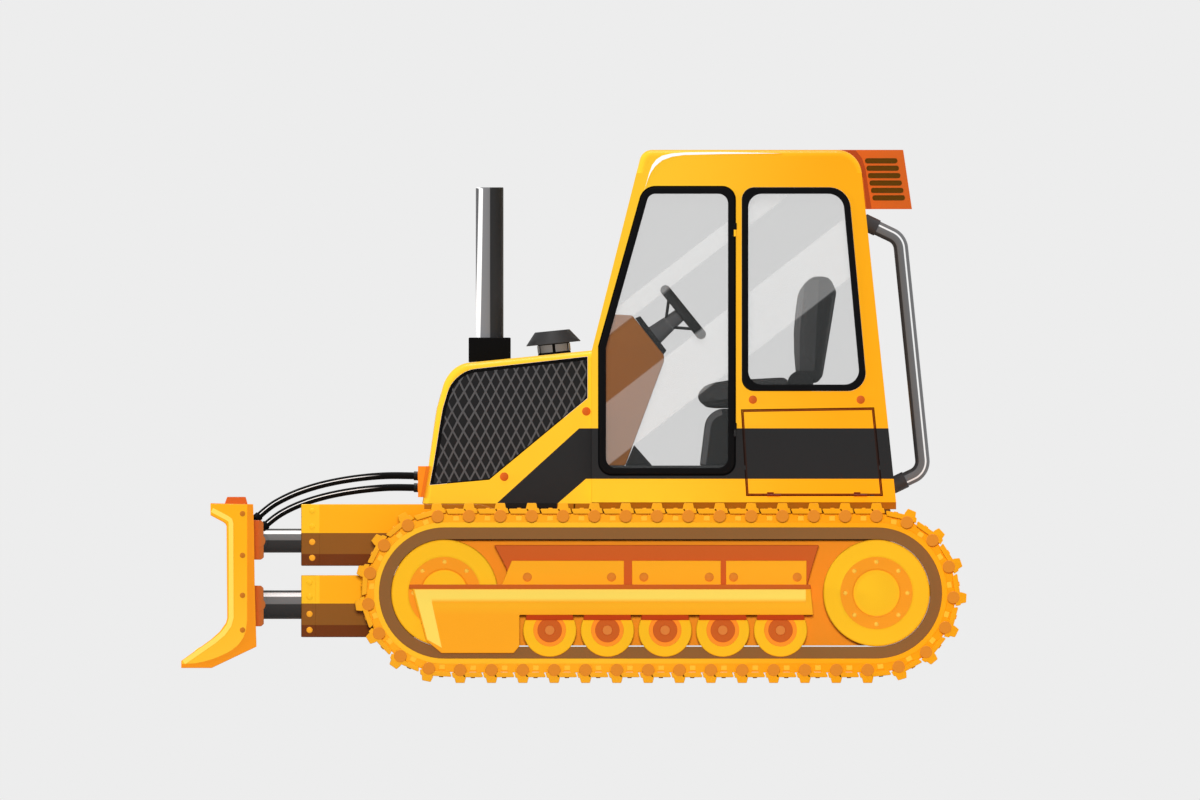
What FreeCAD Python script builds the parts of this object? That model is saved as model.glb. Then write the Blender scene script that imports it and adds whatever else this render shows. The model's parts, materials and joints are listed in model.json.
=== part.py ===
import FreeCAD, Part
import math
import os

# Crawler bulldozer, millimetres.
# Frame: +X forward to the blade, +Y left, +Z up, ground at Z = 0.
V = FreeCAD.Vector

# Running gear
IDLER_X = 776.0
SPROCKET_X = -1816.0
PIN_LINE_R = 462.0
SHOE_OUT = 48.0
SHOE_IN = 28.0
GROUSER_H = 30.0
SHOES = 43
LUG_BASE = 32.0
LUG_TIP = 26.0
RAIL_DEPTH = 140.0
RAIL_LAP = 6.0
WHEEL_GAP = 0.3
TRACK_Y = 900.0
SHOE_W = 500.0
ROW_Y = 90.0
ROW_W = 60.0
WHEEL_Z = PIN_LINE_R + SHOE_OUT + GROUSER_H
WHEEL_R = PIN_LINE_R - RAIL_DEPTH - WHEEL_GAP
WHEEL_W = 260.0
RAIL_TOP = WHEEL_Z - PIN_LINE_R + RAIL_DEPTH
HUB_RING_IN = 145.0
HUB_RING_OUT = 218.0
HUB_PROUD = 22.0
ROLLERS = 5
ROLLER_X = IDLER_X - 631.0
ROLLER_PITCH = (ROLLER_X - SPROCKET_X - 576.0) / (ROLLERS - 1)
ROLLER_FLANGE_R = 160.0
ROLLER_FLANGE_W = 28.0
ROLLER_HUB_R = 72.0
ROLLER_HUB_W = 14.0
ROLLER_Z = 317.0
TREAD_R = ROLLER_Z - RAIL_TOP - WHEEL_GAP
HUB_OUT_Y = TRACK_Y + WHEEL_W / 2 + 20.0

# Places across the machine, from the tracks inwards and outwards
FRAME_Y = TRACK_Y - SHOE_W / 2 - 20.0
ARM_Y1 = FRAME_Y - 30.0
ARM_Y0 = ARM_Y1 - 110.0
ARM_Y = (ARM_Y0 + ARM_Y1) / 2
LIFT_Y = ARM_Y0 - 95.0
NOSE_Y = LIFT_Y - 70.0
CHEEK_Y0 = ARM_Y0 - 60.0
CHEEK_Y1 = ARM_Y1 + 60.0
CAB_Y = FRAME_Y + 70.0
HOOD_Y = CAB_Y - 270.0
BLADE_Y = TRACK_Y + SHOE_W / 2 + 300.0

# Track frame
WEB_Y = TRACK_Y - WHEEL_W / 2 - 65.0
WEB_T = 20.0
WEB_R = 315.0
BEAM_OUT_Y = HUB_OUT_Y + 8.0
BEAM_Z0 = 490.0
BEAM_Z1 = 590.0
BEAM_X0 = -1422.0
BEAM_X1 = 430.0
CASE_Y0 = WEB_Y + 75.0
CASE_Y1 = BEAM_OUT_Y - 58.0
CASE_TOP_Z = 828.0
STAY_X0 = -1380.0
STAY_X1 = 380.0
STAY_H = 60.0
LID_T = 30.0
LID_TOP_Z = 734.0
CAP_BASE_W = 288.0
CAP_TOP_W = 258.0
CAP_Z = 378.0
CAP_T = 6.0
GUARD_T = 32.0
GUARD_TOP_Z = BEAM_Z1 + 1.0
GUARD_LOW_Z = 408.0
GUARD_LIP_T = 18.0
GUARD_LIP_H = 26.0

# Main frame
FRAME_X0 = -1900.0
FRAME_X1 = -10.0
FRAME_Z0 = 440.0
FRAME_TOP_Z = 1042.0
TAIL_X = 160.0
TAIL_Z = 120.0
FINAL_DRIVE_R = 215.0
CROSS_X0 = -200.0
CROSS_X1 = -20.0
CROSS_Z0 = 520.0
CROSS_Z1 = 700.0
NOSE_X1 = 860.0
NOSE_WALL = 25.0
NOSE_Z0 = 540.0
FLOOR_PAN_T = 20.0
HOOD_BASE_Z = FRAME_TOP_Z + 35.0
DRAWBAR_X = -2110.0
DRAWBAR_Z = 520.0
DRAWBAR_T = 70.0
DRAWBAR_W = 220.0
DRAWBAR_PIN_R = 27.0

# Lift linkage
PIVOT_X = 90.0
LOWER_Z = 470.0
UPPER_Z = 854.0
PIN_R = 40.0
FIT_GAP = 0.3
EYE_R = 75.0
EAR_T = 24.0
EAR_GAP = 4.0
EAR_FLARE = 10.0
ARM_X1 = 1636.0
ARM_WIDE_X = 560.0
LOWER_BOX_Z0 = 275.0
LOWER_BOX_Z1 = 647.0
UPPER_BOX_Z0 = 703.0
UPPER_BOX_Z1 = 1073.0
LOWER_ROD_R = 86.0
UPPER_ROD_R = 72.0
ROD_EYE_R = 58.0
ROD_END_GAP = 40.0
BLADE_PIN_X = 1890.0
CROSS_TUBE_X = 1220.0
CROSS_TUBE_Z = 450.0
CROSS_TUBE_R = 75.0

# Lift cylinders
TRUNNION_X = 150.0
TRUNNION_Z = 700.0
LIFT_EYE_X = 1080.0
LIFT_EYE_Z = 410.0
LIFT_EYE_W = 50.0
LIFT_LUG_T = 20.0
LIFT_LUG_R = 48.0
LIFT_LUG_GAP = 5.0
LIFT_PIN_R = 30.0
LIFT_EYE_R = 52.0
LIFT_DRIFT = 11.0
BOSS_R = 38.0
BARREL_R = 50.0
LIFT_ROD_R = 30.0
BARREL_START = 45.0
BARREL_END = 620.0
ROD_START = 215.0

# Blade
END_PLATE_T = 30.0
SKIN_T = 25.0
BLADE_BACK_X = 1960.0
BLADE_RIB_X = 2070.0
RIB_Y = (60.0, 1050.0)
RIB_Z0 = 400.0
RIB_Z1 = 900.0
CHEEK_T = 25.0
CHEEK_GAP = 5.0
CHEEK_X0 = BLADE_BACK_X - 100.0
TOP_RAIL_Y = BLADE_Y - 250.0
TOP_RAIL_Z = 1117.0

# Hood
HOOD_WALL = 25.0
HOOD_EDGE_R = 45.0
MESH_T = 12.0
MESH_PITCH_X = 60.0
MESH_PITCH_Z = 121.0
MESH_BAR = 9.0
MESH_RIM = 26.0
GRILLE_Y = HOOD_Y - 130.0
GRILLE_Z0 = 1330.0
GRILLE_Z1 = 1740.0
GRILLE_BARS = 9
GRILLE_RIM = 30.0
GRILLE_END_GAP = 6.0
GRILLE_BAR_T = 12.0
ENGINE_X0 = 60.0
ENGINE_X1 = 760.0
ENGINE_Y = NOSE_Y - NOSE_WALL - 30.0
ENGINE_TOP_Z = 1640.0
CLEANER_X = 116.0
CLEANER_NECK_R = 99.0
CLEANER_NECK_H = 62.0
CLEANER_CAP_R = 160.0
CLEANER_TOP_R = 108.0
CLEANER_CAP_H = 72.0
CLEANER_LIP_H = 12.0
STACK_X = 505.0
STACK_R = 83.0
STACK_TOP_Z = 2974.0
STACK_WALL = 4.0
STACK_BASE_W = 253.0
STACK_BASE_TOP_Z = 2073.0

# Cab
CAB_WALL = 60.0
CAB_BASE_Z = FRAME_TOP_Z + 42.0
CAB_TOP_Z = 3199.0
ROOF_T = 60.0
ROOF_SEAM_Z = CAB_TOP_Z - 139.0
ROOF_EDGE_R = 40.0
ROOF_RIM = 110.0
FRONT_X = -108.0
FRONT_KNEE_Z = 1997.0
SCREEN_RIM = 70.0
SCREEN_Z0 = FRONT_KNEE_Z + 60.0
SCREEN_Z1 = ROOF_SEAM_Z - 70.0
LOW_PANE_Y0 = HOOD_Y + 30.0
LOW_PANE_Y1 = CAB_Y - CAB_WALL - 40.0
LOW_PANE_Z0 = 1330.0
LOW_PANE_Z1 = FRONT_KNEE_Z - 40.0
BACK_PANE_Y = CAB_Y - CAB_WALL - 110.0
BACK_PANE_Z0 = 1790.0
BACK_PANE_Z1 = ROOF_SEAM_Z - 260.0
DOOR_GAP = 8.0
DOOR_INSET = 5.0
SEAL_W = 40.0
SEAL_PROUD = 6.0
KNUCKLE_R = 9.0
KNUCKLE_L = 40.0
LEAF_W = 30.0
DOOR_X0 = -965.0
DOOR_X1 = FRONT_X - 45.0
DOOR_TOP_Z = ROOF_SEAM_Z - 85.0
DOOR_LOW_Z = 1251.0
DOOR_HINGES_Z = (DOOR_LOW_Z + 249.0, DOOR_TOP_Z - 275.0)
DOOR_AXIS_X = DOOR_X0 - DOOR_GAP / 2
DOOR_AXIS_Y = CAB_Y + SEAL_PROUD + KNUCKLE_R + FIT_GAP
FLAP_HINGES_X = (-1720.0, -1200.0)
FLAP_Z0 = 1129.0
FLAP_AXIS_Y = CAB_Y + KNUCKLE_R + FIT_GAP
FLAP_AXIS_Z = FLAP_Z0 - DOOR_GAP / 2
GLASS_T = 8.0
SEAT_Y = 250.0
CUSHION_Z0 = 1651.0
CUSHION_T = 179.0
SEAT_BACK_GAP = 6.0
SEAT_BASE_INSET = 40.0
SEAT_HINGE_X = -1364.0
SEAT_HINGE_R = 90.0
SEAT_HINGE_T = 30.0
FLOOR_Z = 1305.0
FOOTPLATE_T = 25.0
CONSOLE_Y = 200.0
FOOTREST_Y0 = 210.0
FOOTREST_Y1 = 330.0
FOOTREST_TOP_Z = FLOOR_Z + 124.0
BEARER_X = 60.0
AC_Y = CAB_Y - 280.0
AC_LOW_Z = CAB_TOP_Z - 356.0
AC_SLOTS = 6
AC_SLOT_W = 190.0
AC_SLOT_H = 30.0
AC_SLOT_DEPTH = 12.0
AC_SLOT_TOP = (-1844.0, CAB_TOP_Z - 66.0)
AC_SLOT_LOW = (-1889.0, CAB_TOP_Z - 288.0)
GUARD_TUBE_R = 43.5
GUARD_TUBE_Y = CAB_Y - 140.0
GUARD_TUBE_BEND = 95.0
SLEEVE_R = 50.0
SLEEVE_UP_L = 130.0
SLEEVE_LOW_L = 150.0
WHEEL_RIM_R = 200.0
RIM_TUBE_R = 28.0
HUB_R = 40.0
SPOKE_R = 11.0
COLUMN_FOOT_R = 60.0
COLUMN_TOP_R = 43.0
COLUMN_L = 150.0
COLUMN_REACH = 220.0
COLUMN_PLATE_Y = 110.0
STEER_X = -656.0
STEER_Z = 2225.0
STEER_TILT = 38.9
HOSE_R = 21.0
NUT_R = 27.0
NUT_L = 34.0
MANIFOLD_X = 935.0
MANIFOLD_Z0 = 1115.0
MANIFOLD_Z1 = 1301.0
MANIFOLD_W = 100.0


def box(x0, x1, y0, y1, z0, z1):
    return Part.makeBox(x1 - x0, y1 - y0, z1 - z0, V(x0, y0, z0))


def side_face(points, y=0.0):
    corners = [V(x, y, z) for x, z in points]
    return Part.Face(Part.makePolygon(corners + [corners[0]]))


def plate(points, y0, y1):
    # A side outline of (x, z) points, extruded across from y0 to y1.
    return side_face(points, y0).extrude(V(0, y1 - y0, 0))


def rounded(points):
    # A side outline of (x, z, radius) points; a radius above 0 rounds that corner.
    edges = []
    count = len(points)
    last = None
    first = None
    for i in range(count):
        x, z, radius = points[i]
        corner = V(x, 0, z)
        if radius <= 0:
            start = corner
            end = corner
        else:
            before = points[i - 1]
            after = points[(i + 1) % count]
            to_before = (V(before[0], 0, before[1]) - corner).normalize()
            to_after = (V(after[0], 0, after[1]) - corner).normalize()
            half = to_before.getAngle(to_after) / 2.0
            reach = radius / math.tan(half)
            start = corner + to_before * reach
            end = corner + to_after * reach
            middle = (to_before + to_after).normalize()
            mid = corner + middle * (radius / math.sin(half) - radius)
        if last is not None and (start - last).Length > 0.01:
            edges.append(Part.LineSegment(last, start).toShape())
        if radius > 0:
            edges.append(Part.Arc(start, mid, end).toShape())
        if first is None:
            first = start
        last = end
    if (first - last).Length > 0.01:
        edges.append(Part.LineSegment(last, first).toShape())
    return Part.Wire(edges)


def panel(points, y0, y1):
    # As plate, from an outline with rounded corners.
    face = Part.Face(rounded(points))
    face.translate(V(0, y0, 0))
    return face.extrude(V(0, y1 - y0, 0))


def disc(x, z, radius, y0, y1):
    # A cylinder across the machine.
    return Part.makeCylinder(radius, y1 - y0, V(x, y0, z), V(0, 1, 0))


def rod_between(a, b, radius):
    return Part.makeCylinder(radius, (b - a).Length, a, b - a)


def turned(profile, x, z):
    # A profile of (radius, y) points, spun about the cross axis through (x, z).
    corners = [V(x + r, y, z) for r, y in profile]
    face = Part.Face(Part.makePolygon(corners + [corners[0]]))
    return face.revolve(V(x, 0, z), V(0, 1, 0), 360)


def fuse(shapes):
    result = shapes[0]
    if len(shapes) > 1:
        result = shapes[0].fuse(shapes[1:])
    return result.removeSplitter()


def group(shapes):
    return Part.makeCompound(shapes)


def mirror(shape):
    return shape.mirror(V(0, 0, 0), V(0, 1, 0))


def both(shape):
    return group([shape, mirror(shape)])


def at(p, q, z):
    # The X of the line through p and q, two (x, z) points, at height z.
    return p[0] + (q[0] - p[0]) * (z - p[1]) / (q[1] - p[1])


def grow(points, d):
    # A convex outline of (x, z) points moved outwards by d, inwards where d is negative.
    area = sum(p[0] * q[1] - q[0] * p[1] for p, q in zip(points, points[1:] + points[:1]))
    turn = 1.0 if area > 0 else -1.0
    moved = []
    for i in range(len(points)):
        a = V(points[i - 1][0], 0, points[i - 1][1])
        b = V(points[i][0], 0, points[i][1])
        c = V(points[(i + 1) % len(points)][0], 0, points[(i + 1) % len(points)][1])
        u = (b - a).normalize()
        w = (c - b).normalize()
        nu = V(u.z, 0, -u.x) * turn
        nw = V(w.z, 0, -w.x) * turn
        bis = (nu + nw).normalize()
        out = b + bis * (d / bis.dot(nu))
        moved.append((out.x, out.z))
    return moved


# Side outlines, (x, z) or (x, z, corner radius)
PILLAR = [(FRONT_X, FRONT_KNEE_Z), (-380.0, 3079.0)]
REAR = [(-1939.0, 1035.0), (-1730.0, 3034.0)]
CAB_OUTLINE = [
    (FRONT_X, CAB_BASE_Z, 0),
    (FRONT_X, FRONT_KNEE_Z, 0),
    (at(*PILLAR, CAB_TOP_Z), CAB_TOP_Z, 75),
    (at(*REAR, CAB_TOP_Z), CAB_TOP_Z, 150),
    (at(*REAR, CAB_BASE_Z), CAB_BASE_Z, 0),
]
DOOR_SLANT = [(DOOR_X1, FRONT_KNEE_Z + 23.0), (-421.0, 2975.0)]
DOOR_OUTLINE = [
    (DOOR_X1, DOOR_LOW_Z, 75),
    (DOOR_SLANT[0][0], DOOR_SLANT[0][1], 0),
    (at(*DOOR_SLANT, DOOR_TOP_Z), DOOR_TOP_Z, 90),
    (DOOR_X0, DOOR_TOP_Z, 75),
    (DOOR_X0, DOOR_LOW_Z, 75),
]
WINDOW_X1 = DOOR_X0 - 42.0
WINDOW_REAR = [(-1762.0, 1751.0), (-1650.0, 2975.0)]
WINDOW_OUTLINE = [
    (WINDOW_X1, WINDOW_REAR[0][1], 75),
    (WINDOW_X1, DOOR_TOP_Z, 75),
    (at(*WINDOW_REAR, DOOR_TOP_Z), DOOR_TOP_Z, 130),
    (WINDOW_REAR[0][0], WINDOW_REAR[0][1], 110),
]
FLAP_OUTLINE = [(-1041.0, FLAP_Z0), (-1011.0, 1634.0), (-1795.0, 1646.0), (-1847.0, FLAP_Z0)]
NOSE = [(905.0, HOOD_BASE_Z), (775.0, 1804.0)]
HOOD_OUTLINE = [
    (NOSE[0][0], NOSE[0][1], 0),
    (NOSE[1][0] - 20, 1910.0, 170),
    (FRONT_X, 1996.0, 0),
    (FRONT_X, HOOD_BASE_Z, 0),
]
MESH_BROW = [(572.0 + 180.0 * math.cos(math.radians(a)), 1706.6 + 180.0 * math.sin(math.radians(a)))
             for a in (11.2, 21.6, 31.9, 42.3, 52.6, 63.0, 73.3, 83.7)]
MESH_OUTLINE = [(859.0, 1187.0)] + MESH_BROW + [
    (-83.0, 1960.0),
    (-83.0, 1709.0),
    (508.0, 1219.0),
]
BLADE_END = [
    (2180.0, 1079.0),
    (1924.0, 1073.0),
    (1919.0, 908.0),
    (1915.0, 598.0),
    (1904.0, 218.0),
    (2173.0, 90.0),
    (2200.0, 90.0),
    (2176.0, 262.0),
    (2124.0, 309.0),
    (2087.0, 361.0),
    (2080.0, 391.0),
    (2084.0, 949.0),
    (2103.0, 965.0),
    (2180.0, 1006.0),
]
BLADE_FACE = [
    (2180.0, 1006.0),
    (2103.0, 965.0),
    (2084.0, 949.0),
    (2080.0, 391.0),
    (2087.0, 361.0),
    (2124.0, 309.0),
    (2176.0, 262.0),
]
EDGE_OUTLINE = [(2200.0, 90.0), (2356.0, 90.0), (2356.0, 133.0), (2176.0, 262.0)]


def loop_point(s, offset):
    # A point on the track's loop at arc length s of the pin line, moved out by offset.
    straight = IDLER_X - SPROCKET_X
    bend = math.pi * PIN_LINE_R
    s = s % (2 * (straight + bend))
    r = PIN_LINE_R + offset
    if s < straight:
        return (SPROCKET_X + s, WHEEL_Z + r), (1.0, 0.0)
    s -= straight
    if s < bend:
        angle = math.pi / 2 - s / PIN_LINE_R
        point = (IDLER_X + r * math.cos(angle), WHEEL_Z + r * math.sin(angle))
        return point, (math.sin(angle), -math.cos(angle))
    s -= bend
    if s < straight:
        return (IDLER_X - s, WHEEL_Z - r), (-1.0, 0.0)
    s -= straight
    angle = -math.pi / 2 - s / PIN_LINE_R
    point = (SPROCKET_X + r * math.cos(angle), WHEEL_Z + r * math.sin(angle))
    return point, (math.sin(angle), -math.cos(angle))


LOOP = 2 * (IDLER_X - SPROCKET_X) + 2 * math.pi * PIN_LINE_R
PITCH = LOOP / SHOES


def loop_outline(offset):
    return [loop_point(i * PITCH, offset)[0] for i in range(SHOES)]


def shoe_outline():
    # The outside of the shoes, with one lug at each pin.
    points = []
    for i in range(SHOES):
        base, along = loop_point(i * PITCH, SHOE_OUT)
        tip, along = loop_point(i * PITCH, SHOE_OUT + GROUSER_H)
        points.append((base[0] - along[0] * LUG_BASE, base[1] - along[1] * LUG_BASE))
        points.append((tip[0] - along[0] * LUG_TIP, tip[1] - along[1] * LUG_TIP))
        points.append((tip[0] + along[0] * LUG_TIP, tip[1] + along[1] * LUG_TIP))
        points.append((base[0] + along[0] * LUG_BASE, base[1] + along[1] * LUG_BASE))
    return points


def loop_band(outer, inner, y0, y1):
    return plate(outer, y0, y1).cut(plate(inner, y0 - 1, y1 + 1))


def stadium(radius, y0, y1):
    # The form around both wheel axes, with round ends.
    straight = box(SPROCKET_X, IDLER_X, y0, y1, WHEEL_Z - radius, WHEEL_Z + radius)
    return fuse([straight, disc(SPROCKET_X, WHEEL_Z, radius, y0, y1), disc(IDLER_X, WHEEL_Z, radius, y0, y1)])


def make_track():
    half = SHOE_W / 2
    parts = [loop_band(shoe_outline(), loop_outline(SHOE_IN), TRACK_Y - half, TRACK_Y + half)]
    for side in (-1, 1):
        middle = TRACK_Y + side * ROW_Y
        y0 = middle - ROW_W / 2
        y1 = middle + ROW_W / 2
        rail = plate(loop_outline(SHOE_IN + RAIL_LAP), y0, y1)
        parts.append(rail.cut(stadium(PIN_LINE_R - RAIL_DEPTH, y0 - 1, y1 + 1)))
    return fuse(parts)


def wheel_profile(inner_y, outer_y):
    # Half section of an idler or sprocket: dished outer face with a raised ring and a hub.
    face = outer_y - HUB_PROUD
    return [
        (0, inner_y),
        (HUB_RING_OUT, inner_y),
        (HUB_RING_OUT, TRACK_Y - WHEEL_W / 2),
        (WHEEL_R, TRACK_Y - WHEEL_W / 2),
        (WHEEL_R, face - 12),
        (WHEEL_R - 12, face),
        (HUB_RING_OUT + 14, face),
        (HUB_RING_OUT, face + HUB_PROUD / 2),
        (HUB_RING_IN, face + HUB_PROUD / 2),
        (HUB_RING_IN - 12, face),
        (HUB_RING_IN - 30, face),
        (HUB_RING_IN - 45, outer_y),
        (0, outer_y),
    ]


def make_wheel(x):
    return turned(wheel_profile(WEB_Y + WEB_T, HUB_OUT_Y), x, WHEEL_Z)


def make_rollers():
    out = HUB_OUT_Y
    rollers = []
    flange = WHEEL_W / 2 - 8
    for i in range(ROLLERS):
        profile = [
            (0, WEB_Y + WEB_T),
            (30, WEB_Y + WEB_T),
            (30, TRACK_Y - flange - ROLLER_FLANGE_W),
            (ROLLER_FLANGE_R, TRACK_Y - flange - ROLLER_FLANGE_W),
            (ROLLER_FLANGE_R, TRACK_Y - flange),
            (TREAD_R, TRACK_Y - flange),
            (TREAD_R, TRACK_Y + flange),
            (ROLLER_FLANGE_R, TRACK_Y + flange),
            (ROLLER_FLANGE_R, TRACK_Y + flange + ROLLER_FLANGE_W),
            (TREAD_R, TRACK_Y + flange + ROLLER_FLANGE_W),
            (TREAD_R, out - ROLLER_HUB_W),
            (ROLLER_HUB_R, out - ROLLER_HUB_W),
            (ROLLER_HUB_R, out),
            (30, out),
            (30, out + 6),
            (0, out + 6),
        ]
        rollers.append(turned(profile, ROLLER_X - i * ROLLER_PITCH, ROLLER_Z))
    return group(rollers)


def make_track_frame():
    web = stadium(WEB_R, WEB_Y, WEB_Y + WEB_T)
    beam = box(BEAM_X0, BEAM_X1, WEB_Y + WEB_T, BEAM_OUT_Y, BEAM_Z0, BEAM_Z1)
    stay = box(STAY_X0, STAY_X1, WEB_Y + WEB_T, CASE_Y0, BEAM_Z1, BEAM_Z1 + STAY_H)
    case = plate([(409, 695), (478, CASE_TOP_Z), (-1471, CASE_TOP_Z), (-1429, 694),
                  (-1400, BEAM_Z1), (373, BEAM_Z1)], CASE_Y0, CASE_Y1)
    parts = [web, beam, stay, case]
    for front, back, slant in ((373, -301, 60), (-349, -882, 0), (-913, -1396, 0)):
        lid = [(front + slant, BEAM_Z1), (front, LID_TOP_Z), (back, LID_TOP_Z), (back, BEAM_Z1)]
        parts.append(plate(lid, CASE_Y1, CASE_Y1 + LID_T))
    for i in range(ROLLERS):
        x = ROLLER_X - i * ROLLER_PITCH
        cap = [(x - CAP_BASE_W / 2, CAP_Z), (x + CAP_BASE_W / 2, CAP_Z),
               (x + CAP_TOP_W / 2, BEAM_Z0), (x - CAP_TOP_W / 2, BEAM_Z0)]
        parts.append(plate(cap, BEAM_OUT_Y - CAP_T, BEAM_OUT_Y))
    return fuse(parts)


def make_track_guard():
    outline = [
        (985, 565), (983, GUARD_TOP_Z), (-1418, GUARD_TOP_Z), (-1437, GUARD_LOW_Z),
        (326, GUARD_LOW_Z), (326, 221), (361, 179), (794, 179), (888, 256), (968, 560),
    ]
    lip_z = GUARD_TOP_Z - GUARD_LIP_H
    outer_y = BEAM_OUT_Y + GUARD_T
    body = plate(outline, BEAM_OUT_Y, outer_y)
    lip = plate([(985, lip_z), (983, GUARD_TOP_Z), (-1418, GUARD_TOP_Z), (-1420, lip_z)],
                outer_y, outer_y + GUARD_LIP_T)
    return fuse([body, lip])


def ear_pair(z):
    # The two plates that carry an arm's pivot, with its pin.
    parts = []
    for y0, y1 in ((ARM_Y0 - EAR_GAP - EAR_T, ARM_Y0 - EAR_GAP), (ARM_Y1 + EAR_GAP, ARM_Y1 + EAR_GAP + EAR_T)):
        parts.append(plate([(FRAME_X1, z - EYE_R - EAR_FLARE), (PIVOT_X, z - EYE_R),
                            (PIVOT_X, z + EYE_R), (FRAME_X1, z + EYE_R + EAR_FLARE)], y0, y1))
        parts.append(disc(PIVOT_X, z, EYE_R, y0, y1))
    parts.append(disc(PIVOT_X, z, PIN_R, ARM_Y0 - EAR_GAP - EAR_T, ARM_Y1 + EAR_GAP + EAR_T))
    return fuse(parts)


def rear_case():
    return plate([(FRAME_X0, FRAME_Z0 + TAIL_Z), (FRAME_X0 + TAIL_X, FRAME_Z0), (FRAME_X1, FRAME_Z0),
                  (FRAME_X1, FRAME_TOP_Z), (FRAME_X0, FRAME_TOP_Z)], -FRAME_Y, FRAME_Y)


def make_main_frame():
    parts = [rear_case()]
    cross = box(CROSS_X0, CROSS_X1, FRAME_Y, WEB_Y, CROSS_Z0, CROSS_Z1)
    drive = disc(SPROCKET_X + 20, WHEEL_Z, FINAL_DRIVE_R, FRAME_Y - 10, WEB_Y)
    for shape in (cross, drive):
        parts.append(shape)
        parts.append(mirror(shape))
    return fuse(parts)


def make_drawbar():
    # The tongue on the rear case, with the bore for a towing pin at its round end.
    tongue = box(DRAWBAR_X, FRAME_X0 + TAIL_X, -DRAWBAR_W / 2, DRAWBAR_W / 2,
                 DRAWBAR_Z, DRAWBAR_Z + DRAWBAR_T)
    nose_end = Part.makeCylinder(DRAWBAR_W / 2, DRAWBAR_T, V(DRAWBAR_X, 0, DRAWBAR_Z), V(0, 0, 1))
    bore = Part.makeCylinder(DRAWBAR_PIN_R, DRAWBAR_T + 20, V(DRAWBAR_X, 0, DRAWBAR_Z - 10))
    return fuse([tongue, nose_end]).cut(bore).cut(rear_case())


def make_nose_frame():
    walls = box(FRAME_X1, NOSE_X1, -NOSE_Y, NOSE_Y, NOSE_Z0, FRAME_TOP_Z)
    bay = box(FRAME_X1 - 1, NOSE_X1 - 2 * NOSE_WALL, -NOSE_Y + NOSE_WALL, NOSE_Y - NOSE_WALL,
              NOSE_Z0 + FLOOR_PAN_T, FRAME_TOP_Z + 1)
    deck = box(FRAME_X1, NOSE[0][0], -HOOD_Y, HOOD_Y, FRAME_TOP_Z, HOOD_BASE_Z)
    deck_hole = box(FRAME_X1 + 10, NOSE_X1 - 2 * NOSE_WALL, -NOSE_Y + NOSE_WALL, NOSE_Y - NOSE_WALL,
                    FRAME_TOP_Z - 1, HOOD_BASE_Z + 1)
    trunnion = disc(TRUNNION_X, TRUNNION_Z, LIFT_PIN_R, NOSE_Y - 5, LIFT_Y + LIFT_EYE_W / 2 + 12)
    boss = disc(TRUNNION_X, TRUNNION_Z, BOSS_R, NOSE_Y - 5, LIFT_Y - LIFT_EYE_W / 2 - EAR_GAP)
    shell = fuse([walls.cut(bay), deck.cut(deck_hole)])
    return fuse([shell, trunnion, boss, mirror(trunnion), mirror(boss)])


def make_engine():
    return box(ENGINE_X0, ENGINE_X1, -ENGINE_Y, ENGINE_Y, NOSE_Z0 + FLOOR_PAN_T, ENGINE_TOP_Z)


def make_hood():
    outer = panel(HOOD_OUTLINE, -HOOD_Y, HOOD_Y)
    top_edges = []
    for edge in outer.Edges:
        middle = edge.valueAt((edge.FirstParameter + edge.LastParameter) / 2)
        if abs(abs(middle.y) - HOOD_Y) < 1 and middle.z > 1805 and middle.x > FRONT_X + 1:
            top_edges.append(edge)
    outer = outer.makeFillet(HOOD_EDGE_R, top_edges)
    foot, brow, rear_top, rear_foot = HOOD_OUTLINE
    hollow = [
        (foot[0] - HOOD_WALL, HOOD_BASE_Z - 1, 0),
        (brow[0] - HOOD_WALL, brow[1] - HOOD_WALL, brow[2]),
        (FRONT_X - 1, rear_top[1] - HOOD_WALL, 0),
        (FRONT_X - 1, HOOD_BASE_Z - 1, 0),
    ]
    inner = panel(hollow, -HOOD_Y + HOOD_WALL, HOOD_Y - HOOD_WALL)
    shell = outer.cut(inner)
    window = plate(MESH_OUTLINE, -HOOD_Y - 10, HOOD_Y + 10)
    front = box(NOSE[1][0] - 2 * HOOD_WALL, NOSE[0][0], -GRILLE_Y, GRILLE_Y, GRILLE_Z0, GRILLE_Z1)
    return shell.cut(window).cut(front)


def clip(points, corners):
    # A convex polygon clipped to a convex outline, both lists of (x, z) in the same turn.
    result = points
    for p, q in zip(corners, corners[1:] + corners[:1]):
        kept = []
        for a, b in zip(result, result[1:] + result[:1]):
            da = (q[0] - p[0]) * (a[1] - p[1]) - (q[1] - p[1]) * (a[0] - p[0])
            db = (q[0] - p[0]) * (b[1] - p[1]) - (q[1] - p[1]) * (b[0] - p[0])
            if da >= 0:
                kept.append(a)
            if da * db < 0:
                t = da / (da - db)
                kept.append((a[0] + t * (b[0] - a[0]), a[1] + t * (b[1] - a[1])))
        result = kept
        if len(result) < 3:
            return []
    return result


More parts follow.
